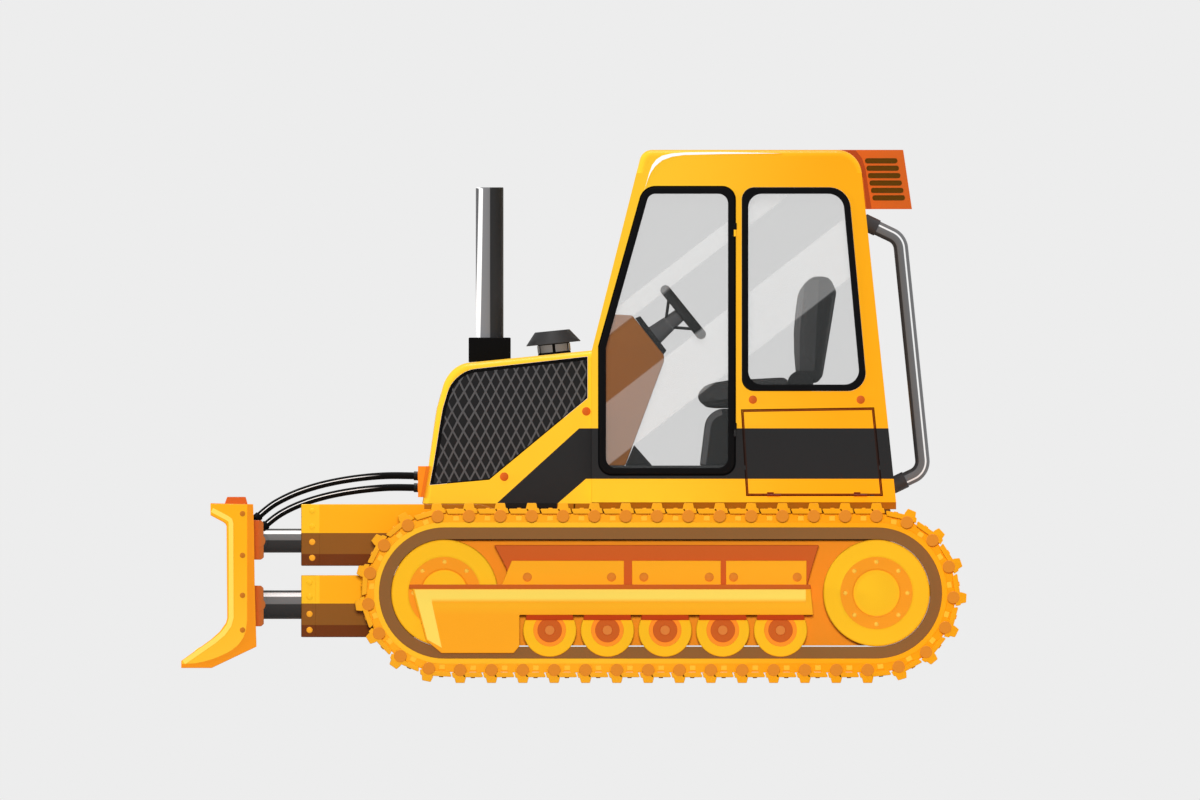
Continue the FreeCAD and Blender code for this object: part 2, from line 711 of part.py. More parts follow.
def make_mesh_panel():
    outline = MESH_OUTLINE
    rim = grow(outline, -MESH_RIM)
    xs = [x for x, z in rim]
    zs = [z for x, z in rim]
    half_x = MESH_PITCH_X / 2 - MESH_BAR * 0.6
    half_z = half_x * MESH_PITCH_Z / MESH_PITCH_X
    holes = []
    rows = int((max(zs) - min(zs)) / (MESH_PITCH_Z / 2)) + 2
    columns = int((max(xs) - min(xs)) / MESH_PITCH_X) + 2
    for j in range(rows):
        for i in range(columns):
            x = min(xs) + (i + 0.5 * (j % 2)) * MESH_PITCH_X
            z = min(zs) + j * MESH_PITCH_Z / 2
            diamond = [(x + half_x, z), (x, z + half_z), (x - half_x, z), (x, z - half_z)]
            hole = clip(diamond, rim)
            if len(hole) < 3:
                continue
            area = sum(p[0] * q[1] - q[0] * p[1] for p, q in zip(hole, hole[1:] + hole[:1])) / 2
            if area > 120:
                holes.append(hole)
    wires = [side_face(outline).OuterWire] + [side_face(hole).OuterWire for hole in holes]
    face = Part.makeFace(wires, "Part::FaceMakerBullseye")
    face.translate(V(0, HOOD_Y - HOOD_WALL, 0))
    return face.extrude(V(0, MESH_T, 0))


def make_grille():
    # A louvred grille in the slanted nose.
    slope = math.degrees(math.atan2(NOSE[0][0] - NOSE[1][0], NOSE[1][1] - NOSE[0][1]))
    x = at(*NOSE, GRILLE_Z0)
    height = (GRILLE_Z1 - GRILLE_Z0) / math.cos(math.radians(slope))
    y = GRILLE_Y - FIT_GAP
    end = height - GRILLE_END_GAP
    low = GRILLE_END_GAP + GRILLE_RIM
    frame = box(-HOOD_WALL, 0, -y, y, GRILLE_END_GAP, end)
    frame = frame.cut(box(-HOOD_WALL - 1, 1, -y + GRILLE_RIM, y - GRILLE_RIM, low, end - GRILLE_RIM))
    pitch = (height - 2 * low) / GRILLE_BARS
    bars = [frame]
    for i in range(GRILLE_BARS):
        z = low + (i + 0.5) * pitch
        bars.append(box(-HOOD_WALL + 4, -4, -y + GRILLE_RIM - 1, y - GRILLE_RIM + 1,
                        z - GRILLE_BAR_T / 2, z + GRILLE_BAR_T / 2))
    grille = fuse(bars)
    grille.rotate(V(0, 0, 0), V(0, 1, 0), -slope)
    grille.translate(V(x, 0, GRILLE_Z0))
    return grille


def hood_top(x):
    return HOOD_OUTLINE[1][1] + (HOOD_OUTLINE[2][1] - HOOD_OUTLINE[1][1]) * (
        (x - HOOD_OUTLINE[1][0]) / (HOOD_OUTLINE[2][0] - HOOD_OUTLINE[1][0]))


def make_exhaust():
    half = STACK_BASE_W / 2
    base = plate([(STACK_X + half, hood_top(STACK_X + half)), (STACK_X + half, STACK_BASE_TOP_Z),
                  (STACK_X - half, STACK_BASE_TOP_Z), (STACK_X - half, hood_top(STACK_X - half))],
                 -half, half)
    base_top = STACK_BASE_TOP_Z
    pipe = Part.makeCylinder(STACK_R, STACK_TOP_Z - base_top + 20, V(STACK_X, 0, base_top - 20))
    bore = Part.makeCylinder(STACK_R - STACK_WALL, STACK_TOP_Z - base_top + 20,
                             V(STACK_X, 0, base_top + 30))
    return fuse([base, pipe]).cut(bore)


def make_precleaner():
    lean = math.degrees(math.atan2(HOOD_OUTLINE[2][1] - HOOD_OUTLINE[1][1],
                                   HOOD_OUTLINE[1][0] - HOOD_OUTLINE[2][0]))
    neck = Part.makeCylinder(CLEANER_NECK_R, CLEANER_NECK_H)
    cone = Part.makeCone(CLEANER_CAP_R, CLEANER_TOP_R, CLEANER_CAP_H, V(0, 0, CLEANER_NECK_H))
    lip = Part.makeCylinder(CLEANER_CAP_R + 5, CLEANER_LIP_H, V(0, 0, CLEANER_NECK_H - CLEANER_LIP_H))
    shape = fuse([neck, lip, cone])
    shape.rotate(V(0, 0, 0), V(0, 1, 0), lean)
    shape.translate(V(CLEANER_X, 0, hood_top(CLEANER_X)))
    return shape


def cab_block(grow_y=0.0):
    return panel(CAB_OUTLINE, -CAB_Y - grow_y, CAB_Y + grow_y)


def make_cab_floor():
    # The pan on the main frame, and the footplate on its cross walls.
    y = CAB_Y - CAB_WALL
    rear = at(*REAR, CAB_BASE_Z)
    back = at(*REAR, FLOOR_Z) + CAB_WALL
    front = FRONT_X - CAB_WALL
    parts = [box(rear, FRONT_X, -y, y, FRAME_TOP_Z, CAB_BASE_Z)]
    parts.append(box(back, front, -y, y, FLOOR_Z - FOOTPLATE_T, FLOOR_Z))
    half = FOOTPLATE_T / 2
    for x in (back + BEARER_X, (back + front) / 2, front - BEARER_X):
        parts.append(box(x - half, x + half, -y, y, CAB_BASE_Z, FLOOR_Z - FOOTPLATE_T))
    return fuse(parts)


def make_footrest():
    return plate([(-309, FLOOR_Z), (-361, FOOTREST_TOP_Z), (-470, FLOOR_Z)], FOOTREST_Y0, FOOTREST_Y1)


def make_cab_side():
    wall = cab_block().common(box(-2500, 500, CAB_Y - CAB_WALL, CAB_Y, CAB_BASE_Z, ROOF_SEAM_Z))
    door = [(x, z, r + DOOR_GAP if r else 0) for (x, z), (a, b, r) in
            zip(grow([(p[0], p[1]) for p in DOOR_OUTLINE], DOOR_GAP), DOOR_OUTLINE)]
    flap = plate(grow(FLAP_OUTLINE, DOOR_GAP), CAB_Y - CAB_WALL - 10, CAB_Y + 10)
    window = panel(WINDOW_OUTLINE, CAB_Y - CAB_WALL - 10, CAB_Y + 10)
    wall = wall.cut(panel(door, CAB_Y - CAB_WALL - 10, CAB_Y + 10)).cut(flap).cut(window)
    return fuse([wall] + door_knuckles() + flap_knuckles(False))


def inset(points, d):
    # A rounded outline moved inwards by d, its corner radii smaller by as much.
    moved = grow([(p[0], p[1]) for p in points], -d)
    return [(x, z, max(0, p[2] - d)) for (x, z), p in zip(moved, points)]


def make_side_seal():
    y0 = CAB_Y - CAB_WALL
    y1 = CAB_Y + SEAL_PROUD
    outer = panel(inset(WINDOW_OUTLINE, FIT_GAP), y0, y1)
    return outer.cut(panel(inset(WINDOW_OUTLINE, SEAL_W), y0 - 1, y1 + 1))


def pane(outline):
    y = CAB_Y - CAB_WALL / 2
    return panel(inset(outline, SEAL_W + FIT_GAP), y - GLASS_T / 2, y + GLASS_T / 2)


def make_door():
    y0 = CAB_Y - CAB_WALL + DOOR_INSET
    y1 = CAB_Y + SEAL_PROUD
    outer = panel(DOOR_OUTLINE, y0, y1)
    frame = outer.cut(panel(inset(DOOR_OUTLINE, SEAL_W), y0 - 1, y1 + 1))
    parts = [frame]
    for z in DOOR_HINGES_Z:
        low = z + KNUCKLE_L / 2 + FIT_GAP
        parts.append(Part.makeCylinder(KNUCKLE_R, KNUCKLE_L, V(DOOR_AXIS_X, DOOR_AXIS_Y, low)))
        parts.append(box(DOOR_AXIS_X, DOOR_X0 + LEAF_W, y1 - 1, DOOR_AXIS_Y - 4, low, low + KNUCKLE_L))
    return fuse(parts)


def door_knuckles():
    # The cab's halves of the door hinges.
    parts = []
    for z in DOOR_HINGES_Z:
        low = z - KNUCKLE_L / 2
        parts.append(Part.makeCylinder(KNUCKLE_R, KNUCKLE_L, V(DOOR_AXIS_X, DOOR_AXIS_Y, low)))
        parts.append(box(DOOR_AXIS_X - LEAF_W, DOOR_AXIS_X, CAB_Y, DOOR_AXIS_Y - 4, low, low + KNUCKLE_L)
                     .cut(box(DOOR_X0 - DOOR_GAP, 0, 0, CAB_Y + SEAL_PROUD, low - 1, low + KNUCKLE_L + 1)))
    return parts


def flap_knuckles(on_flap):
    # One half of the flap hinges: the flap's, or the cab's.
    parts = []
    for x in FLAP_HINGES_X:
        start = x + FIT_GAP if on_flap else x - KNUCKLE_L
        parts.append(Part.makeCylinder(KNUCKLE_R, KNUCKLE_L, V(start, FLAP_AXIS_Y, FLAP_AXIS_Z),
                                       V(1, 0, 0)))
        z0 = FLAP_AXIS_Z if on_flap else FLAP_AXIS_Z - LEAF_W
        parts.append(box(start, start + KNUCKLE_L, CAB_Y, FLAP_AXIS_Y - 4, z0, z0 + LEAF_W))
    return parts


def make_flap():
    return fuse([plate(FLAP_OUTLINE, CAB_Y - CAB_WALL, CAB_Y)] + flap_knuckles(True))


def wall_along(line, z0, z1, thick, inward):
    # A wall that follows a slanted side line, thick towards the cab's inside.
    a = (at(*line, z0), z0)
    b = (at(*line, z1), z1)
    return [a, b, (b[0] + inward * thick, b[1]), (a[0] + inward * thick, a[1])]


def make_cab_front():
    y = CAB_Y - CAB_WALL
    knee = FRONT_KNEE_Z
    low = plate([(FRONT_X, CAB_BASE_Z), (FRONT_X, knee), (FRONT_X - CAB_WALL, knee),
                 (FRONT_X - CAB_WALL, CAB_BASE_Z)], -y, y)
    high = plate(wall_along(PILLAR, knee, ROOF_SEAM_Z, CAB_WALL, -1), -y, y)
    wall = fuse([low, high])
    x0 = at(*PILLAR, ROOF_SEAM_Z) - 2 * CAB_WALL
    wall = wall.cut(box(x0, FRONT_X, -y + SCREEN_RIM, y - SCREEN_RIM, SCREEN_Z0, SCREEN_Z1))
    hole = box(FRONT_X - 2 * CAB_WALL, FRONT_X + 1, LOW_PANE_Y0, LOW_PANE_Y1, LOW_PANE_Z0, LOW_PANE_Z1)
    return wall.cut(hole).cut(mirror(hole))


def make_cab_rear():
    y = CAB_Y - CAB_WALL
    wall = plate(wall_along(REAR, CAB_BASE_Z, ROOF_SEAM_Z, CAB_WALL, 1), -y, y)
    x0 = at(*REAR, BACK_PANE_Z0) - CAB_WALL
    x1 = at(*REAR, BACK_PANE_Z1) + 2 * CAB_WALL
    return wall.cut(box(x0, x1, -BACK_PANE_Y, BACK_PANE_Y, BACK_PANE_Z0, BACK_PANE_Z1))


def make_cab_glass():
    mid = (CAB_WALL - GLASS_T) / 2
    screen_y = CAB_Y - CAB_WALL - SCREEN_RIM - FIT_GAP
    screen = plate(wall_along(PILLAR, SCREEN_Z0, SCREEN_Z1, GLASS_T, -1), -screen_y, screen_y)
    screen.translate(V(-mid, 0, 0))
    back_y = BACK_PANE_Y - FIT_GAP
    back = plate(wall_along(REAR, BACK_PANE_Z0 + FIT_GAP, BACK_PANE_Z1 - FIT_GAP, GLASS_T, 1), -back_y, back_y)
    back.translate(V(mid, 0, 0))
    low = box(FRONT_X - mid - GLASS_T, FRONT_X - mid, LOW_PANE_Y0 + FIT_GAP, LOW_PANE_Y1 - FIT_GAP,
              LOW_PANE_Z0 + FIT_GAP, LOW_PANE_Z1 - FIT_GAP)
    side = pane(WINDOW_OUTLINE)
    return group([screen, back, low, mirror(low), side, mirror(side)])


def make_cab_roof():
    roof = cab_block().common(box(-2500, 500, -CAB_Y, CAB_Y, ROOF_SEAM_Z, CAB_TOP_Z + 1))
    edges = []
    for edge in roof.Edges:
        middle = edge.valueAt((edge.FirstParameter + edge.LastParameter) / 2)
        if abs(abs(middle.y) - CAB_Y) < 1 and middle.z > ROOF_SEAM_Z + 5:
            edges.append(edge)
    rounded_roof = roof.makeFillet(ROOF_EDGE_R, edges)
    x0 = at(*REAR, ROOF_SEAM_Z) + ROOF_RIM
    x1 = at(*PILLAR, ROOF_SEAM_Z) - ROOF_RIM
    inside = box(x0, x1, -CAB_Y + ROOF_RIM, CAB_Y - ROOF_RIM, ROOF_SEAM_Z - 1, CAB_TOP_Z - ROOF_T)
    return rounded_roof.cut(inside)


def make_ac_unit():
    # The air-conditioning case behind the roof, with its rows of slots on both sides.
    outline = [(-1540, CAB_TOP_Z), (-1976, CAB_TOP_Z), (-2029, AC_LOW_Z), (-1700, AC_LOW_Z)]
    body = plate(outline, -AC_Y, AC_Y).cut(cab_block(50))
    solids = sorted(body.Solids, key=lambda s: -s.Volume)
    body = solids[0]
    for i in range(AC_SLOTS):
        z = AC_SLOT_TOP[1] + i * (AC_SLOT_LOW[1] - AC_SLOT_TOP[1]) / (AC_SLOTS - 1)
        x = at(AC_SLOT_TOP, AC_SLOT_LOW, z)
        slot = box(x - AC_SLOT_W / 2, x + AC_SLOT_W / 2, AC_Y - AC_SLOT_DEPTH, AC_Y + 1,
                   z - AC_SLOT_H / 2, z + AC_SLOT_H / 2)
        body = body.cut(slot).cut(mirror(slot))
    return body


GUARD_PATH = [
    (-1700.0, ROOF_SEAM_Z - 273.0),
    (-1957.0, ROOF_SEAM_Z - 396.0),
    (-2098.0, CAB_BASE_Z + 189.0),
    (-1840.0, CAB_BASE_Z + 66.0),
]


def bent_rod(points, y, radius, bend):
    # A round bar along (x, z) points at one y, its corners bent to a radius.
    edges = []
    last = V(points[0][0], y, points[0][1])
    for i in range(1, len(points) - 1):
        corner = V(points[i][0], y, points[i][1])
        u = (V(points[i - 1][0], y, points[i - 1][1]) - corner).normalize()
        w = (V(points[i + 1][0], y, points[i + 1][1]) - corner).normalize()
        half = u.getAngle(w) / 2
        reach = bend / math.tan(half)
        mid = corner + (u + w).normalize() * (bend / math.sin(half) - bend)
        edges.append(Part.LineSegment(last, corner + u * reach).toShape())
        edges.append(Part.Arc(corner + u * reach, mid, corner + w * reach).toShape())
        last = corner + w * reach
    edges.append(Part.LineSegment(last, V(points[-1][0], y, points[-1][1])).toShape())
    path = Part.Wire(edges)
    start = edges[0].Vertexes[0].Point
    direction = edges[0].tangentAt(edges[0].FirstParameter)
    circle = Part.Wire(Part.Circle(start, direction, radius).toShape())
    return path.makePipeShell([circle], True, False)


def make_guard_tubes():
    tube = bent_rod(GUARD_PATH, GUARD_TUBE_Y, GUARD_TUBE_R, GUARD_TUBE_BEND)
    a, b, d, c = [V(x, GUARD_TUBE_Y, z) for x, z in GUARD_PATH]
    upper = rod_between(a, a + (b - a).normalize() * SLEEVE_UP_L, SLEEVE_R)
    lower = rod_between(c, c + (d - c).normalize() * SLEEVE_LOW_L, SLEEVE_R)
    return both(fuse([tube, upper, lower]).cut(cab_block(50)))


def make_seat():
    # The seat's base, cushion, back and the round hinges between the last two.
    low = CUSHION_Z0
    top = CUSHION_Z0 + CUSHION_T
    base_top = low - FIT_GAP
    base = plate([(-755, FLOOR_Z), (-791, low - 81), (-880, base_top), (-1280, base_top), (-1300, FLOOR_Z)],
                 -SEAT_Y + SEAT_BASE_INSET, SEAT_Y - SEAT_BASE_INSET)
    cushion = plate([(-733, low + 67), (-800, low), (-1297, low), (-1297, top), (-923, top - 27),
                     (-780, top - 60)], -SEAT_Y, SEAT_Y)
    foot = top + SEAT_BACK_GAP
    back = plate([(-1339, foot), (-1330, foot + 214), (-1346, foot + 359), (-1380, foot + 514),
                  (-1440, foot + 589), (-1500, foot + 606), (-1555, foot + 584), (-1567, foot + 504),
                  (-1493, foot + 90), (-1477, foot)], -SEAT_Y, SEAT_Y)
    hinge = disc(SEAT_HINGE_X, top - 33, SEAT_HINGE_R, -SEAT_Y - SEAT_HINGE_T, -SEAT_Y - FIT_GAP)
    return base, cushion, back, both(hinge)


STEER_AXIS = V(-math.cos(math.radians(STEER_TILT)), 0, math.sin(math.radians(STEER_TILT)))
STEER_HUB = V(STEER_X, 0, STEER_Z)


def make_console():
    dash = FRONT_X - CAB_WALL
    body = plate([(dash, FLOOR_Z), (dash, 1990), (-236, 2212), (-350, 2206), (-541, 1967), (-541, 1929),
                  (-309, FLOOR_Z)], -CONSOLE_Y, CONSOLE_Y)
    cap = plate([(-368, 2188), (-398, 2202), (-556, 1996), (-533, 1963)], -COLUMN_PLATE_Y, COLUMN_PLATE_Y)
    column = Part.makeCone(COLUMN_FOOT_R, COLUMN_TOP_R, COLUMN_L, STEER_HUB - STEER_AXIS * COLUMN_REACH,
                           STEER_AXIS)
    return fuse([body, cap, column])


def make_steering_wheel():
    rim_r = WHEEL_RIM_R - RIM_TUBE_R
    rim = Part.makeTorus(rim_r, RIM_TUBE_R, STEER_HUB, STEER_AXIS)
    low = STEER_HUB - STEER_AXIS * (COLUMN_REACH - COLUMN_L - FIT_GAP)
    parts = [rim, rod_between(low, STEER_HUB + STEER_AXIS * 10, HUB_R)]
    across = V(0, 1, 0)
    up = STEER_AXIS.cross(across)
    for turn in (90, 210, 330):
        angle = math.radians(turn)
        direction = across * math.cos(angle) + up * math.sin(angle)
        parts.append(rod_between(low + STEER_AXIS * 14, STEER_HUB + direction * rim_r, SPOKE_R))
    return fuse(parts)


def arm_box(z, low, high):
    # An arm's box with its pivot eye; low and high are the box's edges at its front.
    body = plate([(PIVOT_X, z - EYE_R), (ARM_WIDE_X, low), (ARM_X1, low), (ARM_X1, high),
                  (ARM_WIDE_X, high), (PIVOT_X, z + EYE_R)], ARM_Y0, ARM_Y1)
    eye = disc(PIVOT_X, z, EYE_R, ARM_Y0, ARM_Y1)
    bore = disc(PIVOT_X, z, PIN_R + FIT_GAP, ARM_Y0 - 1, ARM_Y1 + 1)
    return fuse([body, eye]).cut(bore)


def arm_rod(z, radius):
    y = ARM_Y
    half = CHEEK_Y1 - CHEEK_T - CHEEK_GAP - y
    rod = rod_between(V(ARM_X1, y, z), V(BLADE_PIN_X - ROD_END_GAP, y, z), radius)
    cone = Part.makeCone(radius, ROD_EYE_R * 0.8, ROD_END_GAP, V(BLADE_PIN_X - ROD_END_GAP, y, z),
                         V(1, 0, 0))
    eye = disc(BLADE_PIN_X, z, ROD_EYE_R, y - half, y + half)
    bore = disc(BLADE_PIN_X, z, PIN_R + FIT_GAP, y - half - 1, y + half + 1)
    return fuse([rod, cone, eye]).cut(bore)


def make_cross_tube():
    tube = rod_between(V(CROSS_TUBE_X, -ARM_Y0, CROSS_TUBE_Z), V(CROSS_TUBE_X, ARM_Y0, CROSS_TUBE_Z),
                       CROSS_TUBE_R)
    parts = [tube]
    half = LIFT_EYE_W / 2 + LIFT_LUG_GAP
    for side in (-1, 1):
        y = side * LIFT_Y
        for low in (y - half - LIFT_LUG_T, y + half):
            lug = plate([(LIFT_EYE_X, LIFT_EYE_Z - LIFT_LUG_R), (CROSS_TUBE_X, CROSS_TUBE_Z - 60),
                         (CROSS_TUBE_X, CROSS_TUBE_Z + 60), (LIFT_EYE_X, LIFT_EYE_Z + LIFT_LUG_R)],
                        low, low + LIFT_LUG_T)
            parts.append(lug)
            parts.append(disc(LIFT_EYE_X, LIFT_EYE_Z, LIFT_LUG_R, low, low + LIFT_LUG_T))
        parts.append(disc(LIFT_EYE_X, LIFT_EYE_Z, LIFT_PIN_R, y - half - LIFT_LUG_T,
                          y + half + LIFT_LUG_T))
    return fuse(parts)


def make_lift_cylinder():
    start = V(TRUNNION_X, LIFT_Y, TRUNNION_Z)
    end = V(LIFT_EYE_X, LIFT_Y, LIFT_EYE_Z)
    along = (end - start).normalize()
    half = LIFT_EYE_W / 2
    barrel = rod_between(start + along * BARREL_START, start + along * BARREL_END, BARREL_R)
    eye = disc(TRUNNION_X, TRUNNION_Z, LIFT_EYE_R, LIFT_Y - half, LIFT_Y + half)
    barrel = fuse([barrel, eye])
    barrel = barrel.cut(disc(TRUNNION_X, TRUNNION_Z, LIFT_PIN_R + FIT_GAP, LIFT_Y - half - 30, LIFT_Y + half + 30))
    barrel = barrel.cut(rod_between(start + along * (BARREL_START + 25), start + along * (BARREL_END + 1),
                                    LIFT_ROD_R + FIT_GAP))
    rod = rod_between(start + along * ROD_START, end - along * 40, LIFT_ROD_R)
    ring_out = disc(LIFT_EYE_X, LIFT_EYE_Z, LIFT_EYE_R + 8, LIFT_Y - half, LIFT_Y + half)
    ring_in = disc(LIFT_EYE_X, LIFT_EYE_Z, LIFT_PIN_R + LIFT_DRIFT, LIFT_Y - half - 1, LIFT_Y + half + 30)
    rod = fuse([rod, ring_out]).cut(ring_in)
    return both(barrel), both(rod)


def make_blade_shell():
    skin_back = [(x - SKIN_T, z) for x, z in reversed(BLADE_FACE)]
    skin = plate(BLADE_FACE + skin_back, -BLADE_Y + END_PLATE_T, BLADE_Y - END_PLATE_T)
    parts = [skin]
    for y0, y1 in ((BLADE_Y - END_PLATE_T, BLADE_Y), (-BLADE_Y, -BLADE_Y + END_PLATE_T)):
        parts.append(plate(BLADE_END, y0, y1))
    inner = BLADE_Y - END_PLATE_T
    rib = BLADE_RIB_X
    back = BLADE_BACK_X
    top = [(2180, 1006), (2180, 1079), (1924, 1073), (back, 1000), (back, 880), (rib, 880), (rib, 960)]
    low = [(rib, 430), (back, 430), (back, 290), (back + 30, 200), (2150, 130), (2200, 90), (2176, 262),
           (2110, 290), (rib, 360)]
    parts.append(plate(top, -inner, inner))
    parts.append(plate(low, -inner, inner))
    for y in (CHEEK_Y0, CHEEK_Y1 - CHEEK_T) + RIB_Y:
        for low_y in (y, -y - CHEEK_T):
            parts.append(box(back, rib, low_y, low_y + CHEEK_T, RIB_Z0, RIB_Z1))
    return fuse(parts)


def make_cutting_edge():
    return plate(EDGE_OUTLINE, -BLADE_Y, BLADE_Y)


def make_blade_brackets():
    parts = []
    for z0, z1, pin_z in ((740, 978, UPPER_Z), (340, 586, LOWER_Z)):
        for y in (CHEEK_Y0, CHEEK_Y1 - CHEEK_T):
            parts.append(box(CHEEK_X0, BLADE_BACK_X, y, y + CHEEK_T, z0, z1))
        parts.append(disc(BLADE_PIN_X, pin_z, PIN_R, CHEEK_Y0, CHEEK_Y1))
    (x0, z0), (x1, z1) = BLADE_END[:2]
    foot = [(x, at((z0, x0), (z1, x1), x)) for x in (1957, 2095)]
    rail = plate(foot + [(2080, TOP_RAIL_Z), (1969, TOP_RAIL_Z)], -TOP_RAIL_Y, TOP_RAIL_Y)
    return group([both(fuse(parts[:3])), both(fuse(parts[3:])), rail])


def hose(points):
    path = [V(x, y, z) for x, y, z in points]
    edges = []
    last = path[0]
    for i in range(1, len(path) - 1):
        before = path[i - 1] - path[i]
        after = path[i + 1] - path[i]
        half = before.getAngle(after) / 2
        turn = (math.pi - 2 * half) / 2
        radius = 0.45 * min(before.Length, after.Length) / math.tan(turn)
        print("hose radius", round(radius), "mm")
        u = before.normalize()
        w = after.normalize()
        reach = radius * math.tan(turn)
        mid = path[i] + (u + w).normalize() * (radius / math.sin(half) - radius)
        edges.append(Part.LineSegment(last, path[i] + u * reach).toShape())
        edges.append(Part.Arc(path[i] + u * reach, mid, path[i] + w * reach).toShape())
        last = path[i] + w * reach
    edges.append(Part.LineSegment(last, path[-1]).toShape())
    wire = Part.Wire(edges)
    direction = edges[0].tangentAt(edges[0].FirstParameter)
    circle = Part.Wire(Part.Circle(path[0], direction, HOSE_R).toShape())
    tube = wire.makePipeShell([circle], True, False)
    expected = math.pi * HOSE_R ** 2 * wire.Length
    print("hose length", round(wire.Length), "volume ratio", round(tube.Volume / expected, 4))
    return tube


HOSE_UPPER = [
    (960, 362, 1243), (1075, 362, 1246), (1190, 368, 1241), (1305, 378, 1229), (1430, 392, 1209),
    (1545, 409, 1182), (1655, 430, 1146), (1750, 456, 1103), (1830, 486, 1056), (1888, 516, 1003),
]
HOSE_LOWER = [
    (960, 398, 1172), (1070, 399, 1175), (1180, 404, 1169), (1295, 413, 1157), (1415, 425, 1138),
    (1530, 439, 1111), (1635, 457, 1077), (1722, 482, 1038), (1792, 512, 996), (1846, 545, 950),
]


def nut(points, end):
    # The union on a hose's end: at its first point, or at its last.
    tip = V(*points[end])
    inner = V(*points[1 if end == 0 else end - 1])
    return rod_between(tip, tip + (tip - inner).normalize() * NUT_L, NUT_R)


def make_manifold():
    low = MANIFOLD_Z0
    high = MANIFOLD_Z1
    outline = [(at(*NOSE, low), low), (MANIFOLD_X, low), (MANIFOLD_X, high), (at(*NOSE, high), high)]
    block = plate(outline, HOOD_Y - MANIFOLD_W, HOOD_Y)
    return both(fuse([block, nut(HOSE_UPPER, 0), nut(HOSE_LOWER, 0)]))


def make_hose_fittings():
    # A block on each upper rod's eye, where the two hoses end.
    y = ARM_Y
    rod_end = V(BLADE_PIN_X - ROD_END_GAP, y, UPPER_Z)
    block = box(rod_end.x + 2, BLADE_PIN_X + 32, y - 40, y + 45, UPPER_Z, UPPER_Z + 86)
    post = box(BLADE_PIN_X - 2, BLADE_PIN_X + 32, y - 40, y + 15, UPPER_Z + 76, UPPER_Z + 131)
    eye = disc(BLADE_PIN_X, UPPER_Z, ROD_EYE_R + FIT_GAP, CHEEK_Y0, CHEEK_Y1)
    cone = Part.makeCone(UPPER_ROD_R + FIT_GAP, ROD_EYE_R * 0.8 + FIT_GAP, ROD_END_GAP, rod_end, V(1, 0, 0))
    rod = rod_between(V(ARM_X1, y, UPPER_Z), rod_end, UPPER_ROD_R + FIT_GAP)
    fitting = fuse([block, post, nut(HOSE_UPPER, -1), nut(HOSE_LOWER, -1)])
    return both(fitting.cut(eye).cut(cone).cut(rod))


def make_all():
    seat_base, cushion, back, hinges = make_seat()
    barrels, lift_rods = make_lift_cylinder()
    nodes = {
        "main_frame": make_main_frame(),
        "drawbar": make_drawbar(),
        "pivot_ears": both(group([ear_pair(LOWER_Z), ear_pair(UPPER_Z)])),
        "nose_frame": make_nose_frame(),
        "engine_block": make_engine(),
        "hood": make_hood(),
        "radiator_grille": make_grille(),
        "exhaust_stack": make_exhaust(),
        "air_precleaner": make_precleaner(),
        "cab_floor": make_cab_floor(),
        "cab_front": make_cab_front(),
        "cab_rear": make_cab_rear(),
        "cab_roof": make_cab_roof(),
        "cab_glass": make_cab_glass(),
        "seat_base": seat_base,
        "seat_cushion": cushion,
        "seat_back": back,
        "seat_hinges": hinges,
        "console": make_console(),
        "footrests": both(make_footrest()),
        "steering_wheel": make_steering_wheel(),
        "ac_unit": make_ac_unit(),
        "guard_tubes": make_guard_tubes(),
        "hose_manifolds": make_manifold(),
        "cross_tube": make_cross_tube(),
        "lift_barrels": barrels,
        "lift_rods": lift_rods,
        "blade_shell": make_blade_shell(),
        "cutting_edge": make_cutting_edge(),
        "blade_brackets": make_blade_brackets(),
        "hose_fittings": make_hose_fittings(),
        "idlers": both(make_wheel(IDLER_X)),
        "sprockets": both(make_wheel(SPROCKET_X)),
        "rollers": both(make_rollers()),
        "track_guards": both(make_track_guard()),
        "window_seals": both(make_side_seal()),
        "push_rods": both(arm_rod(LOWER_Z, LOWER_ROD_R)),
        "upper_rods": both(arm_rod(UPPER_Z, UPPER_ROD_R)),
    }
    sided = {
        "track": make_track(),
        "track_frame": make_track_frame(),
        "mesh_panel": make_mesh_panel(),
        "cab_side": make_cab_side(),
        "door": make_door(),
        "door_glass": pane(DOOR_OUTLINE),
        "service_flap": make_flap(),
        "push_arm": arm_box(LOWER_Z, LOWER_BOX_Z0, LOWER_BOX_Z1),
        "upper_arm": arm_box(UPPER_Z, UPPER_BOX_Z0, UPPER_BOX_Z1),
        "hose_upper": hose(HOSE_UPPER),
        "hose_lower": hose(HOSE_LOWER),
    }
    for name, shape in sided.items():
        nodes[name + "_left"] = shape
        nodes[name + "_right"] = mirror(shape)
    return nodes


os.makedirs("parts", exist_ok=True)
for name, shape in make_all().items():
    shape.exportStep("parts/" + name + ".step")
    print(name, len(shape.Solids), shape.isValid())
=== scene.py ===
import json
import math

import bmesh
import bpy
from mathutils import Matrix, Vector


